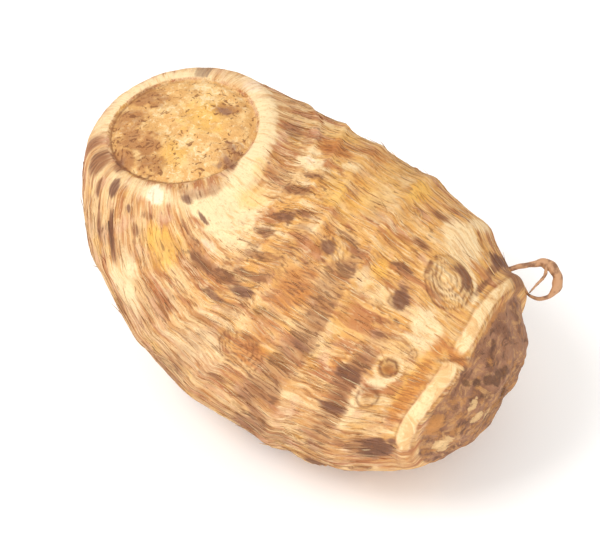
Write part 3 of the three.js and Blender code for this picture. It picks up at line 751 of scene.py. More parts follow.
for kind, spots in SCAR_PATCHES.items():
    for direction, share, size, much in spots:
        x, y = (share * SCAR["radius"] * trig(math.radians(direction)) for trig in (math.cos, math.sin))
        reach = np.hypot(scar_x - x, scar_y - y) / size
        lay(kind, much * (1 - smoothstep(reach + wobble, 0.2, 1.4)) * on_scar)
print("points in brown patches of the top scar:", int((patch["brown"][on_scar] > 0.3).sum()))

# %% Lines and colour round the root scars
FRESH = [1.0, 0.4, 0.4, 0.8, 0.6, 0.9, 0.8]  # how much colour the first scars have left
FADED = 0.3  # and the others
patch["line"], calm = np.zeros(len(smooth)), np.ones(len(smooth))
for reach, fresh in zip(scar_reach, FRESH + [FADED] * len(scars)):
    inside = bell(reach / 0.85, 4)
    lay("line", (0.5 + 0.4 * fresh) * bell((reach - 0.95 + 0.12 * ragged) / 0.2))
    lay("line", 0.45 * np.maximum(bell(reach / 0.4), fresh * inside))
    lay("orange", 0.8 * fresh * inside)
    lay("cream", 0.8 * fresh * bell((reach - 1.55) / 0.4) * np.clip(0.8 + ragged, 0, 1))
    calm *= 1 - bell(reach / 1.6, 6)
print("lines of the root scars on", int((patch["line"] > 0.5).sum()), "points")

# %% Scales and the dead part of the buds, and the rim of the top scar
BUD_RINGS = ((1.02, 0.95), (0.83, 0.75), (0.63, 0.85), (0.43, 0.8), (0.22, 0.7))  # size, strength
TIP = {"x": -0.16, "y": 0.3}  # a bud's tip leans toward the top, and its rings close in round it
# Part of each bud is dead and dark: a soft crescent, its middle in shares of the bud's half sizes.
DEAD = {"middles": [(0.5, -0.36), (-0.1, 0.3), (0.5, -0.36), (0.5, -0.36)], "along": 0.7, "across": 0.66}
for bud, (reach, x, y), (dead_x, dead_y) in zip(BUDS, bud_reach, DEAD["middles"]):
    strong = min(1.0, 0.4 + bud["height"])
    for ring_at, much in BUD_RINGS:
        round_tip = np.hypot(x - TIP["x"] * (1 - ring_at), y - TIP["y"] * (1 - ring_at))
        crease = bell((round_tip - ring_at - 0.06 * ragged) / 0.055) * np.clip(0.75 + 0.8 * ragged, 0.2, 1)
        lay("line", strong * much * crease)
    crescent = np.hypot((x - dead_x) / DEAD["across"], (y - dead_y) / DEAD["along"])
    crescent = 1 - smoothstep(crescent + 0.3 * ragged, 0.4, 1.25)
    crescent *= smoothstep(reach + (1 - bud["height"]), 0.2, 0.45)
    crescent *= 1 - smoothstep(reach, 1.0, 1.15)
    lay("grey", strong * 0.8 * crescent)
    pale = bud["height"] * 0.8 * bell((reach - 1.2) / 0.16) * smoothstep(x - 0.5 * y, 0.1, 0.9)
    lay("cream", pale + 0.42 * smoothstep(1.0 - reach, 0.0, 0.1) * (1 - crescent))
    calm *= 1 - bell(reach / 1.15, 6)
rim_clear = np.clip(0.62 - 0.45 * np.cos(angle_of - math.radians(60)) + 0.6 * ragged, 0.1, 1)
lay("line", 0.9 * bell((share_of - 0.945) / 0.018) * on_scar * rim_clear)
patch["brown"] *= np.where(body, calm, 1)
dark_bands *= 1 - 0.45 * hump(turns_from(25, 65, angle_of))
dark = np.clip(dark_bands * np.clip(0.4 + 0.9 * uneven, 0, 1) * calm * body, 0, 1)
print("lines drawn on", int((patch["line"] > 0.5).sum()), "points")

# %% The lip's edges with painted shade under the lip, the crack through it drawn as painted shade, and the base end
CRACK = {"angle": 331, "slant": 2.2, "half": 1.5}  # degrees, and degrees per millimetre
# Lines along both edges of the lip's pale ribbon: on its top edge a pinkish line of the skin, on its base
# side painted shade of the step under the lip.
LIP_LINES_AND_SHADE = {"at": (1.15, -1.15), "half": 0.32, "much": 0.45}
over_lip, shade_under_lip = (bell((from_ribbon - edge_at) * ribbon_half / LIP_LINES_AND_SHADE["half"]) * body
                       for edge_at in LIP_LINES_AND_SHADE["at"])
# The crack through the lip is a dark line of painted shade, as the mesh has no crack; the pale colours are
# kept out of it.
slanted = angle_of + math.radians(CRACK["slant"]) * (distance_of - LIP["at"])
crack = bell(turns_from(CRACK["angle"], CRACK["half"], slanted) + ragged)
crack *= smoothstep(distance_of, 15.5, 16.5) * (1 - smoothstep(distance_of, 20.5, 22.0)) * body
lip_lines_and_shade = LIP_LINES_AND_SHADE["much"] * np.maximum(over_lip, shade_under_lip) * ring_left(LIP, angle_of)
lay("line", np.maximum(lip_lines_and_shade, 0.65 * crack))
rough = 1 - hump(turns_from(20, 90, angle_of)) ** 0.5 * smoothstep(distance_of, 6.0, 9.0)
rough = np.clip(rough + 0.5 * noise_at(smooth + 60, 3.0), 0, 1) * body
print("rough skin on the base end:", int((rough * bark_there > 0.5).sum()), "points")

# %% Values on the points
def keep_value(mesh, name, values, kind="FLOAT"):
    field = {"FLOAT": "value", "FLOAT_VECTOR": "vector"}[kind]
    kept = mesh.attributes.new(name, kind, "POINT")
    kept.data.foreach_set(field, np.asarray(values, np.float32).ravel())


ends = []
for moved in (NEARBY, -NEARBY):
    there = np.clip(distance_of + moved, 0, SKIN_LENGTH)
    turned = lean_at(there, angle_of) - lean_at(distance_of, angle_of)
    ends.append(skin_point(t_at(there), angle_of - turned))
toward_top = np.where(body[:, None], ends[0] - ends[1], (0, 0, 1))
toward_top /= np.maximum(np.linalg.norm(toward_top, axis=1, keepdims=True), TINY)
bare_top = smoothstep(distance_of, SKIN_LENGTH - 9, SKIN_LENGTH - 4)
hairy = smoothstep(distance_of, 21, 23) * (1 - bare_top) * calm
hairy *= smoothstep(relief[:, 2], 0.8, 3.0) * (1 - 0.7 * np.clip(patch["cream"], 0, 1))
values = {
    **patch, "cream": np.maximum(pale_rings * calm * body * (1 - crack), patch["cream"]),
    "orange": np.maximum(patch["orange"], warm_bands * np.clip(uneven, 0, 1) * calm * body),
    "brown": np.maximum(patch["brown"], dark), "rubbed": rubbed * body * (1 - crack),
    "golden": golden * body, "bark": bark_there, "rough": rough, "top_scar": on_scar * (share_of < 0.955),
    "hairy": hairy, "shade": 0.5 * np.ones(len(smooth)),
}
for name, value in values.items():
    keep_value(skin.data, name, np.clip(value, 0, 1))
keep_value(skin.data, "grain", grain, "FLOAT_VECTOR")
keep_value(skin.data, "toward_top", toward_top, "FLOAT_VECTOR")
print("values kept on the points:", sorted(values))

# %% [markdown]
# ## Finishes
# Each finish is a tree of nodes. One small function adds a node, sets its settings and links its
# inputs, and one turns a colour, given as an sRGB hex value, into the linear numbers Blender works
# in. A finish is then three lists: patterns, with their sizes in millimetres, values kept on the mesh,
# and layers of colour, each laid where a weighted sum of patterns and values is high enough.

# %% Helpers for finishes
def hex_colour(code):
    """An sRGB hex colour as linear red, green, blue and alpha."""
    channels = [int(code[i:i + 2], 16) / 255 for i in (1, 3, 5)]
    return tuple(c / 12.92 if c <= 0.04045 else ((c + 0.055) / 1.055) ** 2.4 for c in channels) + (1.0,)


def add(tree, kind, inputs=None, **settings):
    """Adds a node; inputs maps a socket's name or number to a value or to an output to link."""
    node = tree.nodes.new(kind)
    for name, value in settings.items():
        setattr(node, name, value)
    for socket, value in (inputs or {}).items():
        if isinstance(value, bpy.types.NodeSocket):
            tree.links.new(value, node.inputs[socket])
        else:
            node.inputs[socket].default_value = value
    return node


def new_finish(name):
    made = bpy.data.materials.new(name)
    made.use_nodes = True
    made.node_tree.nodes.clear()
    return made, made.node_tree


def weigh(tree, source, weights):
    """The sum of some patterns and values, each times its weight."""
    total = 0.0
    for name, weight in weights.items():
        total = add(tree, "ShaderNodeMath", {0: source[name], 1: weight, 2: total},
                    operation="MULTIPLY_ADD").outputs[0]
    return total


def paint(tree, source, under, layers):
    """Lays colours one over another: colour, weights, the sums where it starts and is full, its most."""
    for colour, weights, starts, full, most in layers:
        colour = hex_colour(colour) if isinstance(colour, str) else colour
        there = add(tree, "ShaderNodeMapRange",
                    {"Value": weigh(tree, source, weights), "From Min": starts, "From Max": full,
                     "To Max": most}, interpolation_type="SMOOTHSTEP")
        under = add(tree, "ShaderNodeMix", {"Factor": there.outputs["Result"], "A": under, "B": colour},
                    data_type="RGBA").outputs["Result"]
    return under


print("cream in linear numbers:", [round(c, 3) for c in hex_colour("#f3dcae")])

# %% [markdown]
# ## Dry corm skin
# The skin is a thin layer of dead cork and fibre, dried in the air. It scatters light like paper, so
# it is rough, has no metal in it and hardly shines; what the eye gets is short brown and cream streaks
# along the corm, in patches. The streaks come from noise that is read in a space stretched along the
# grain, and swayed a little by a wider noise so that no streak is quite straight.

# %% The skin's finish: what it reads, and the sway
skin_finish, tree = new_finish("dry_corm_skin")
place = add(tree, "ShaderNodeTexCoord").outputs["Object"]
source = {name: add(tree, "ShaderNodeAttribute", attribute_name=name).outputs["Fac"] for name in values}
along_grain = add(tree, "ShaderNodeAttribute", attribute_name="grain").outputs["Vector"]
SWAY = {"size": 7.0, "across": 2.4, "along": 9.0}  # millimetres
HALF_GREY = (0.5, 0.5, 0.5)  # the middle of a noise's colour
swirl = add(tree, "ShaderNodeTexNoise", {"Vector": place, "Scale": 1 / (SWAY["size"] * MM), "Detail": 2.0})
swirl = add(tree, "ShaderNodeVectorMath", {0: swirl.outputs["Color"], 1: HALF_GREY}, operation="SUBTRACT")
swirl = add(tree, "ShaderNodeVectorMath",
            {0: swirl.outputs[0], 1: (SWAY["across"], SWAY["across"], SWAY["along"])}, operation="MULTIPLY")
swayed = add(tree, "ShaderNodeVectorMath", {0: along_grain, 1: swirl.outputs[0]},
             operation="ADD").outputs[0]
print("the grain sways by up to", SWAY["along"] / 2, "mm along and", SWAY["across"] / 2, "mm across")

# %% The skin's finish: patterns
# Along the grain: width and length of the bumps in millimetres, detail, roughness, shift. Real skin
# fibres are about 0.1 mm wide, too fine to show, so the finest streaks are drawn 0.4 mm wide.
GRAIN_PATTERNS = {
    "long_streaks": (2.4, 15.0, 2.0, 0.5, 7.0), "wide_streaks": (1.6, 8.0, 4.0, 0.5, 3.0),
    "streaks": (0.8, 5.0, 3.0, 0.5, 11.0), "fine_streaks": (0.4, 3.6, 2.0, 0.5, 23.0),
    "dashes": (0.5, 2.4, 1.0, 0.5, 37.0), "folds": (4.5, 1.0, 4.0, 0.6, 51.0),
}
# Round bumps: size in millimetres, detail, roughness, distortion, shift.
ROUND_PATTERNS = {
    "clouds": (7.0, 2.0, 0.5, 0.0, 0.5), "mottle": (1.6, 4.0, 0.65, 0.0, 0.3),
    "pores": (0.5, 3.0, 0.7, 0.0, 0.0), "flakes": (2.8, 6.0, 0.62, 0.0, 0.7),
    "pits": (1.1, 2.0, 0.6, 1.2, 0.9), "stains": (3.0, 4.0, 0.5, 0.0, 0.2),
}
for name, (across, along, detail, rough_part, moved) in GRAIN_PATTERNS.items():
    stretched = add(tree, "ShaderNodeMapping",
                    {"Vector": swayed, "Location": (moved, moved, moved),
                     "Scale": (1 / across, 1 / across, 1 / along)}).outputs["Vector"]
    source[name] = add(tree, "ShaderNodeTexNoise", {"Vector": stretched, "Scale": 1.0, "Detail": detail,
                                                    "Roughness": rough_part}).outputs["Fac"]
for name, (size, detail, rough_part, distortion, moved) in ROUND_PATTERNS.items():
    shifted = add(tree, "ShaderNodeMapping", {"Vector": place, "Location": (moved, moved, moved)})
    source[name] = add(tree, "ShaderNodeTexNoise",
                       {"Vector": shifted.outputs["Vector"], "Scale": 1 / (size * MM), "Detail": detail,
                        "Roughness": rough_part, "Distortion": distortion}).outputs["Fac"]
from_middle = add(tree, "ShaderNodeMath", {0: source["flakes"], 1: 0.5}, operation="SUBTRACT").outputs[0]
source["seam"] = add(tree, "ShaderNodeMath", {0: from_middle}, operation="ABSOLUTE").outputs[0]
print("the patterns take", len(tree.nodes), "nodes")

# %% The skin's finish: the streaked skin
TAN, DEEP_TAN, CREAM, PALE_CREAM = "#c68f57", "#9c6336", "#e2bd88", "#f1d6a6"
YELLOW, AMBER, ORANGE, RUST = "#e9b455", "#c88a45", "#c67c3a", "#96552b"
BROWN, DARK_BROWN, GREY_BROWN, RED_BROWN = "#8e5c39", "#66402a", "#76503f", "#7a4a2b"
PINK_TAN, RED_TAN, GOLD, MAUVE_TAN, WHITE = "#d2a283", "#a8643f", "#dca558", "#a87857", "#f5dfc2"
SKIN_LAYERS = [
    (CREAM, {"wide_streaks": 1.0}, 0.42, 0.62, 0.85),
    (AMBER, {"golden": 0.3, "clouds": 1.0}, 0.62, 1.0, 0.65),
    (GOLD, {"golden": 0.7, "clouds": 0.9}, 0.7, 1.15, 0.65),
    (DEEP_TAN, {"wide_streaks": -1.0, "clouds": -0.6}, -0.72, -0.55, 0.7),
    (DEEP_TAN, {"streaks": 1.0}, 0.5, 0.66, 0.75),
    (CREAM, {"long_streaks": 1.0}, 0.53, 0.66, 0.7),
    (RED_TAN, {"long_streaks": -1.0}, -0.47, -0.36, 0.7),
    (CREAM, {"mottle": 1.0}, 0.56, 0.72, 0.35),
    (PINK_TAN, {"stains": 1.0, "golden": -0.1}, 0.48, 0.66, 0.5),
    (YELLOW, {"clouds": -1.0, "stains": -0.4}, -0.62, -0.5, 0.35),
    (PALE_CREAM, {"fine_streaks": 1.0}, 0.55, 0.68, 0.5),
    (PALE_CREAM, {"cream": 1.0, "streaks": 0.6, "fine_streaks": 0.4}, 0.7, 1.35, 0.85),
    (YELLOW, {"yellow": 0.8, "streaks": 0.6}, 0.4, 1.15, 0.8),
    (WHITE, {"white": 1.0, "streaks": 0.5}, 0.6, 1.15, 0.8),
    (ORANGE, {"orange": 0.7, "mottle": 0.5, "streaks": 0.5}, 0.6, 1.3, 0.8),
    (RUST, {"orange": 0.3, "fine_streaks": 1.0}, 0.66, 0.86, 0.6),
    (AMBER, {"cream": 0.15, "streaks": -1.0, "golden": 0.08}, -0.32, -0.14, 0.45),
    (MAUVE_TAN, {"brown": 1.0, "grey": 0.6, "wide_streaks": 0.4}, 0.3, 1.2, 0.6),
    (BROWN, {"brown": 0.85, "streaks": 0.7, "fine_streaks": 0.35}, 0.7, 1.4, 0.85),
    (GREY_BROWN, {"grey": 1.0, "streaks": 0.5, "fine_streaks": 0.2}, 0.5, 1.15, 0.85),
    (DARK_BROWN, {"brown": 0.22, "grey": 0.2, "dashes": 1.0, "cream": -0.1}, 0.63, 0.78, 0.6),
    (BROWN, {"brown": 0.08, "fine_streaks": -1.0, "cream": -0.12}, -0.41, -0.3, 0.35),
    # Lines: outlines of the scars, the buds and the top scar's rim, and painted shade under the lip and in
    # its crack.
    (RED_BROWN, {"line": 1.0}, 0.0, 0.9, 0.9),
    (BROWN, {"shade": 1.0}, 0.5, 1.0, 0.55),
    (PALE_CREAM, {"shade": -1.0}, -0.5, 0.0, 0.5),
]
streaked_skin = paint(tree, source, hex_colour(TAN), SKIN_LAYERS)
print("the streaked skin:", len(SKIN_LAYERS), "layers")

# %% The skin's finish: cork of the base end
# Cork is dead, crumbly and matt: what the eye gets is brown crumbs and folds, with paler flakes on them.
CORK_LAYERS = [
    ("#744c37", {"stains": 1.0, "rough": 0.06}, 0.45, 0.66, 0.8),
    ("#c0915f", {"folds": 1.0, "rough": 0.06}, 0.54, 0.68, 0.75),
    ("#5e3d2b", {"folds": -1.0, "grey": 0.1}, -0.44, -0.33, 0.75),
    ("#b88047", {"mottle": 1.0, "rough": 0.12, "orange": 0.3}, 0.57, 0.74, 0.65),
    ("#d6b07c", {"flakes": 1.0, "rough": 0.1, "cream": 0.4}, 0.72, 0.82, 0.8),
    ("#e6c592", {"flakes": 0.6, "cream": 0.7}, 0.75, 1.1, 0.85),
    # Painted shade of the cork's cracks, laid on the crevice patches.
    ("#5d3d2a", {"crevice_shade": 1.0, "mottle": 0.5, "folds": -0.3}, 0.35, 0.95, 0.75),
    ("#553824", {"seam": -1.0, "rough": 0.02, "crevice_shade": 0.02}, -0.004, 0.03, 0.6),
    ("#c08347", {"orange": 1.0, "mottle": 0.4}, 0.5, 1.1, 0.8),
    (RED_BROWN, {"line": 1.0}, 0.0, 1.0, 0.7),
]
cork = paint(tree, source, hex_colour("#9a6e52"), CORK_LAYERS)
print("the cork:", len(CORK_LAYERS), "layers")

# %% The skin's finish: the cut face of the top scar
# The cut face dried open: pale, grainy flesh with brown stains and dark pinholes.
FACE_LAYERS = [
    ("#eac489", {"mottle": 1.0, "cream": 0.15}, 0.46, 0.66, 0.8),
    (YELLOW, {"yellow": 1.0, "stains": 0.5}, 0.3, 1.0, 0.6),
    ("#f3dcae", {"pits": -1.0, "cream": 0.16}, -0.42, -0.3, 0.6),
    ("#a56c3f", {"brown": 1.0, "stains": 0.6}, 0.35, 1.1, 0.8),
    ("#8c6450", {"grey": 1.0, "mottle": 0.8}, 0.7, 1.3, 0.8),
    ("#7b4b2a", {"pits": 1.0, "brown": 0.06, "grey": 0.06}, 0.6, 0.67, 0.8),
    (RED_BROWN, {"line": 1.0}, 0.0, 1.0, 0.85),
]
face = paint(tree, source, hex_colour("#d7a463"), FACE_LAYERS)
print("the cut face:", len(FACE_LAYERS), "layers")

# %% The skin's finish: the rubbed lip, and all of them together
# The rubbed lip is smooth and pale, and its streaks run along it, round the corm.
LIP_LAYERS = [
    ("#efd2a0", {"folds": 1.0}, 0.44, 0.6, 0.85),
    ("#ba8551", {"folds": -1.0, "rubbed": -0.06}, -0.46, -0.36, 0.6),
    (PINK_TAN, {"line": 1.0}, 0.0, 0.7, 0.7),
]
lip = paint(tree, source, hex_colour("#dcb078"), LIP_LAYERS)
whole = [(lip, {"rubbed": 1.0}, 0.1, 0.6, 1.0), (cork, {"bark": 1.0}, 0.0, 1.0, 1.0),
         (face, {"top_scar": 1.0}, 0.0, 1.0, 1.0),
         (DEEP_TAN, {"pores": 1.0}, 0.5, 0.72, 0.3)]
colour = paint(tree, source, streaked_skin, whole)
print("laid over the streaked skin:", len(whole), "layers")

# %% The skin's finish: relief too fine for the mesh, and shine
RELIEF = {"streaks": 0.4, "fine_streaks": 0.5, "pores": 0.3}
# Dry cork and fibre have no metal in them, an IOR near 1.5 and hardly any shine.
DULLNESS = {"To Min": 0.65, "To Max": 0.85}
bump = add(tree, "ShaderNodeBump",
           {"Height": weigh(tree, source, RELIEF), "Strength": 0.8, "Distance": 0.4 * MM})
dull = add(tree, "ShaderNodeMapRange",
           {"Value": source["pores"], "From Min": 0.2, "From Max": 0.8, **DULLNESS})
shader = add(tree, "ShaderNodeBsdfPrincipled",
             {"Base Color": colour, "Normal": bump.outputs["Normal"], "Specular IOR Level": 0.3,
              "Roughness": dull.outputs["Result"]})
add(tree, "ShaderNodeOutputMaterial", {"Surface": shader.outputs[0]})
skin.data.materials.append(skin_finish)
print("the skin's finish has", len(tree.nodes), "nodes")

# %% [markdown]
# ## Dried root
# A root that has dried shrinks to a wiry skin round a thin core. It is smoother than the corm, so it
# shines a little along its length, and it wrinkles across; it is brown with a darker stain.

# %% The rootlet's finish
rootlet_finish, tree = new_finish("dried_root")
place = add(tree, "ShaderNodeTexCoord").outputs["Object"]
source = {}
for name, size in {"stains": 1.1, "wrinkles": 0.25}.items():
    source[name] = add(tree, "ShaderNodeTexNoise", {"Vector": place, "Scale": 1 / (size * MM)}).outputs["Fac"]
colour = paint(tree, source, hex_colour("#b98a62"), [("#7f5639", {"stains": 1.0}, 0.45, 0.65, 0.9)])
bump = add(tree, "ShaderNodeBump", {"Height": source["wrinkles"], "Strength": 0.5, "Distance": 0.1 * MM})
shader = add(tree, "ShaderNodeBsdfPrincipled", {"Base Color": colour, "Normal": bump.outputs["Normal"],
                                                "Roughness": 0.55})
add(tree, "ShaderNodeOutputMaterial", {"Surface": shader.outputs[0]})
rootlet.data.materials.append(rootlet_finish)
print("the rootlet's finish has", len(tree.nodes), "nodes")

# %% [markdown]
# ## Skin fibres
# Old leaf sheaths rot away and leave their fibres on the corm. They lie flat, point to the top scar
# and are thickest just above a ring. Thousands of them follow the same rule, so Geometry Nodes lay
# them: points are scattered on the skin by the value kept for it, a short line is put on each, turned
# along the skin, pressed onto it, and given a three-sided body that thins to its ends. The points
# take every value of the skin with them, so a fibre wears the skin's own finish, a shade off.

# %% The tree's inputs and random draws
INPUTS = {"Skin": "Geometry", "Per square metre": "Float", "Length": "Float", "Width": "Float",
          "Lift": "Float", "Stray": "Float", "Seed": "Int", "Finish": "Material"}
DRAWS = {"sideways": (-1.0, 1.0), "endways": (-1.0, 1.0), "outward": (-1.0, 1.0), "longer": (0.4, 1.6),
         "shade": (0.05, 1.0), "thick": (0.5, 1.3), "rise": (0.0, 1.0)}
ON_EACH = ("shade", "thick", "rise")  # draws that a fibre keeps as values of its own
tree = lay_fibres = bpy.data.node_groups.new("lay_fibres", "GeometryNodeTree")
for label, kind in INPUTS.items():
    tree.interface.new_socket(label, in_out="INPUT", socket_type="NodeSocket" + kind)
tree.interface.new_socket("Fibres", in_out="OUTPUT", socket_type="NodeSocketGeometry")
given = tree.nodes.new("NodeGroupInput").outputs
value = {label: given[label] for label in INPUTS}
for number, (name, (low, high)) in enumerate(DRAWS.items(), start=1):
    seed = add(tree, "ShaderNodeMath", {0: value["Seed"], 1: float(number)}, operation="ADD").outputs[0]
    value["drawn " + name] = add(tree, "FunctionNodeRandomValue", {2: low, 3: high, "Seed": seed},
                                 data_type="FLOAT").outputs[1]
KEPT = {"hairy": "FLOAT", "toward_top": "FLOAT_VECTOR", "thick": "FLOAT", "rise": "FLOAT"}
for name, kind in KEPT.items():
    value[name] = add(tree, "GeometryNodeInputNamedAttribute", {"Name": name}, data_type=kind).outputs[0]
value["share"] = add(tree, "GeometryNodeSplineParameter").outputs["Factor"]
# Sums of the tree, each with its name, its operation and what goes in.
SUMS = [
    ("density", "MULTIPLY", "Per square metre", "hairy"),
    ("own length", "MULTIPLY", "Length", "drawn longer"),
    ("curl", "POWER", "share", 2.0), ("most rise", "MULTIPLY", "Lift", "rise"),
    ("lift here", "MULTIPLY", "most rise", "curl"),
    ("from start", "MULTIPLY_ADD", "share", 2.0, -1.0), ("from middle", "ABSOLUTE", "from start"),
    ("at ends", "POWER", "from middle", 3.0), ("thinner", "MULTIPLY", "at ends", 0.75),
    ("thinning", "SUBTRACT", 1.0, "thinner"), ("half width", "MULTIPLY", "Width", 0.5),
    ("radius", "MULTIPLY", "half width", "thick"), ("radius here", "MULTIPLY", "radius", "thinning"),
]
for name, operation, *terms in SUMS:
    inputs = {number: value.get(term, term) for number, term in enumerate(terms)}
    value[name] = add(tree, "ShaderNodeMath", inputs, operation=operation).outputs[0]
print("the tree's numbers:", sorted(value))

# %% Points, and a line turned along the skin on each
LINE_POINTS = 5
spots = add(tree, "GeometryNodeDistributePointsOnFaces",
            {"Mesh": value["Skin"], "Density": value["density"], "Seed": value["Seed"]})
stray = add(tree, "ShaderNodeCombineXYZ", {0: value["drawn sideways"], 1: value["drawn endways"],
                                           2: value["drawn outward"]}).outputs[0]
swerve = add(tree, "ShaderNodeVectorMath", {0: stray, "Scale": value["Stray"]}, operation="SCALE").outputs[0]
heading = add(tree, "ShaderNodeVectorMath", {0: value["toward_top"], 1: swerve}, operation="ADD").outputs[0]
turn = add(tree, "FunctionNodeAxesToRotation",
           {"Primary Axis": heading, "Secondary Axis": spots.outputs["Normal"]},
           primary_axis="X", secondary_axis="Z").outputs[0]
straight = add(tree, "GeometryNodeCurvePrimitiveLine", {"Start": (-0.5, 0, 0), "End": (0.5, 0, 0)}).outputs[0]
straight = add(tree, "GeometryNodeResampleCurve", {"Curve": straight, "Count": LINE_POINTS}).outputs[0]
size = add(tree, "ShaderNodeCombineXYZ", {0: value["own length"], 1: 1.0, 2: 1.0}).outputs[0]
laid = add(tree, "GeometryNodeInstanceOnPoints", {"Points": spots.outputs["Points"], "Instance": straight,
                                                  "Rotation": turn, "Scale": size}).outputs[0]
for name in ON_EACH:
    laid = add(tree, "GeometryNodeStoreNamedAttribute",
               {"Geometry": laid, "Name": name, "Value": value["drawn " + name]},
               data_type="FLOAT", domain="INSTANCE").outputs[0]
curves = add(tree, "GeometryNodeRealizeInstances", {"Geometry": laid}).outputs[0]
print("the tree has", len(tree.nodes), "nodes so far")

# %% Bent, pressed onto the skin, and given a body
BEND = {"size": 2.6, "most": 0.6}  # millimetres
position, normal = (add(tree, kind).outputs[0] for kind in ("GeometryNodeInputPosition",
                                                            "GeometryNodeInputNormal"))
bend = add(tree, "ShaderNodeTexNoise", {"Vector": position, "Scale": 1 / (BEND["size"] * MM),
                                        "Detail": 0.0}).outputs["Color"]
bend = add(tree, "ShaderNodeVectorMath", {0: bend, 1: HALF_GREY}, operation="SUBTRACT").outputs[0]
bend = add(tree, "ShaderNodeVectorMath", {0: bend, "Scale": BEND["most"] * MM}, operation="SCALE").outputs[0]
curves = add(tree, "GeometryNodeSetPosition", {"Geometry": curves, "Offset": bend}).outputs[0]
nearest = add(tree, "GeometryNodeProximity", {"Target": value["Skin"]}, target_element="FACES").outputs[0]
out = add(tree, "GeometryNodeSampleNearestSurface", {"Mesh": value["Skin"], "Value": normal},
          data_type="FLOAT_VECTOR").outputs[0]
lifted = add(tree, "ShaderNodeVectorMath", {0: out, "Scale": value["lift here"]},
             operation="SCALE").outputs[0]
pressed = add(tree, "ShaderNodeVectorMath", {0: nearest, 1: lifted}, operation="ADD").outputs[0]
curves = add(tree, "GeometryNodeSetPosition", {"Geometry": curves, "Position": pressed}).outputs[0]
section = add(tree, "GeometryNodeCurvePrimitiveCircle", {"Resolution": 3, "Radius": 1.0}).outputs[0]
bodies = add(tree, "GeometryNodeCurveToMesh", {"Curve": curves, "Profile Curve": section, "Fill Caps": True,
                                               "Scale": value["radius here"]}).outputs[0]
smoothed = add(tree, "GeometryNodeSetShadeSmooth", {"Geometry": bodies}).outputs[0]
real = add(tree, "GeometryNodeRealizeInstances", {"Geometry": smoothed}).outputs[0]
done = add(tree, "GeometryNodeSetMaterial", {"Geometry": real, "Material": value["Finish"]}).outputs[0]
add(tree, "NodeGroupOutput", {"Fibres": done})
print("the tree that lays fibres has", len(tree.nodes), "nodes")

# %% Fibres as plain meshes
# Real ones are about 0.1 mm thick; the flat ones are drawn 0.24 mm thick, so that they show.
def grow_fibres(name, **sizes):
    """Runs the tree on the skin and keeps its result as a plain mesh."""
    grower = skin.modifiers.new(name, "NODES")
    grower.node_group = lay_fibres
    sockets = {item.name: item.identifier for item in lay_fibres.interface.items_tree
               if item.in_out == "INPUT"}
    for label, size in sizes.items():
        grower[sockets[label.replace("_", " ")]] = size
    ready = skin.evaluated_get(bpy.context.evaluated_depsgraph_get())
    mesh = bpy.data.meshes.new_from_object(ready)
    skin.modifiers.remove(grower)
    mesh.calc_loop_triangles()
    print(name, len(mesh.loop_triangles), "triangles")
    return put(name, mesh)


fibres = [
    grow_fibres("skin_fibres", Per_square_metre=4.2e5, Length=3.2 * MM, Width=0.24 * MM,
                Lift=0.08 * MM, Stray=0.15, Seed=11, Finish=skin_finish),
    grow_fibres("loose_hairs", Per_square_metre=2.4e4, Length=4.0 * MM, Width=0.12 * MM,
                Lift=0.8 * MM, Stray=0.6, Seed=29, Finish=skin_finish),
]

# %% [markdown]
# ## Floor, light and camera
# Vegetables are sold on white: a white ground, light from all round, and a large soft light from the
# upper left that shows the relief. The camera stands well back with a long lens, which keeps the
# corm's shape flat and true, and looks down on it from halfway up.

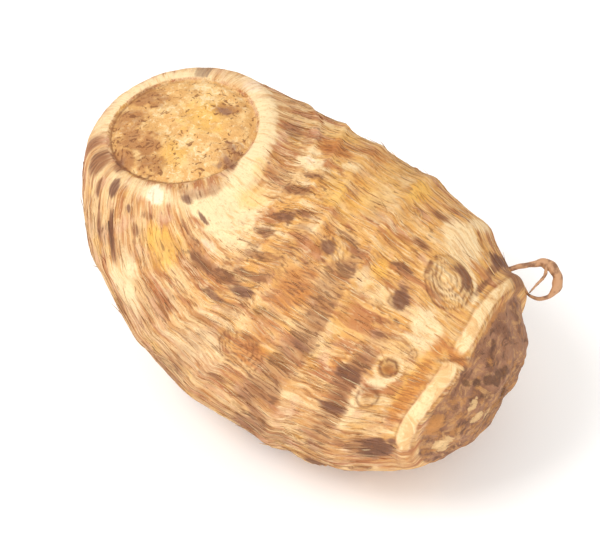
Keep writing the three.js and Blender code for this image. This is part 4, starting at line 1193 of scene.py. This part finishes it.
# %% The floor
# White paper is matt: it scatters nearly all light, and takes a soft shadow.
FLOOR_HALF = 2000.0  # millimetres
corners = [(x * FLOOR_HALF, y * FLOOR_HALF, 0.0) for x, y in ((-1, -1), (1, -1), (1, 1), (-1, 1))]
floor = put("floor", new_mesh("floor", corners, [(0, 1, 2, 3)]))
floor_finish, tree = new_finish("white_paper")
shader = add(tree, "ShaderNodeBsdfPrincipled", {"Base Color": hex_colour("#fbfaf8"), "Roughness": 0.9,
                                                "Specular IOR Level": 0.1})
add(tree, "ShaderNodeOutputMaterial", {"Surface": shader.outputs[0]})
floor.data.materials.append(floor_finish)
print("the floor is", 2 * FLOOR_HALF * MM, "m wide")

# %% The lights
scene = bpy.context.scene
world = bpy.data.worlds.new("white_room")
scene.world = world
world.use_nodes = True
world.node_tree.nodes.clear()
room = add(world.node_tree, "ShaderNodeBackground", {"Color": hex_colour("#ffffff"), "Strength": 0.92})
add(world.node_tree, "ShaderNodeOutputWorld", {"Surface": room.outputs[0]})
scene.view_settings.view_transform = "Standard"
LIT_POINT = (0, 0, 0.025)  # the middle of the corm, in metres


def soft_light(name, place, size, power):
    """A square light that faces the corm, in metres and watts."""
    lamp = bpy.data.lights.new(name, "AREA")
    lamp.size, lamp.energy = size, power
    made = put(name, lamp)
    made.location = place
    made.rotation_euler = (Vector(LIT_POINT) - Vector(place)).to_track_quat("-Z", "Y").to_euler()
    print(f"{name} light: {power} W over {size} m")


soft_light("window", (-0.45, -0.45, 0.95), 0.5, 6.2)
soft_light("fill", (0.7, -0.7, 0.6), 0.9, 4.2)

# %% The camera
AZIMUTH, ELEVATION, DISTANCE = math.radians(30), math.radians(50), 0.7
LOOK_AT = Vector((-0.97, 0.52, 25.8)) * MM
SHOWN_WIDTH = 94.1 * MM
SENSOR_WIDTH, FARTHEST_SEEN = 36.0, 20.0  # millimetres, and metres
back = Vector((math.sin(AZIMUTH) * math.cos(ELEVATION), -math.cos(AZIMUTH) * math.cos(ELEVATION),
               math.sin(ELEVATION)))
lens = bpy.data.cameras.new("long_lens")
lens.sensor_width, lens.clip_end = SENSOR_WIDTH, FARTHEST_SEEN
lens.lens = SENSOR_WIDTH * DISTANCE / SHOWN_WIDTH
scene.camera = camera = put("camera", lens)
camera.location = LOOK_AT + back * DISTANCE
camera.rotation_euler = back.to_track_quat("Z", "Y").to_euler()
print(f"a {lens.lens:.0f} mm lens, {DISTANCE} m away")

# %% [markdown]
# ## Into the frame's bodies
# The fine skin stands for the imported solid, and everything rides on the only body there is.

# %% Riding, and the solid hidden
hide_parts("corm")
for piece in (skin, rootlet, *fibres):
    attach(piece, "root")
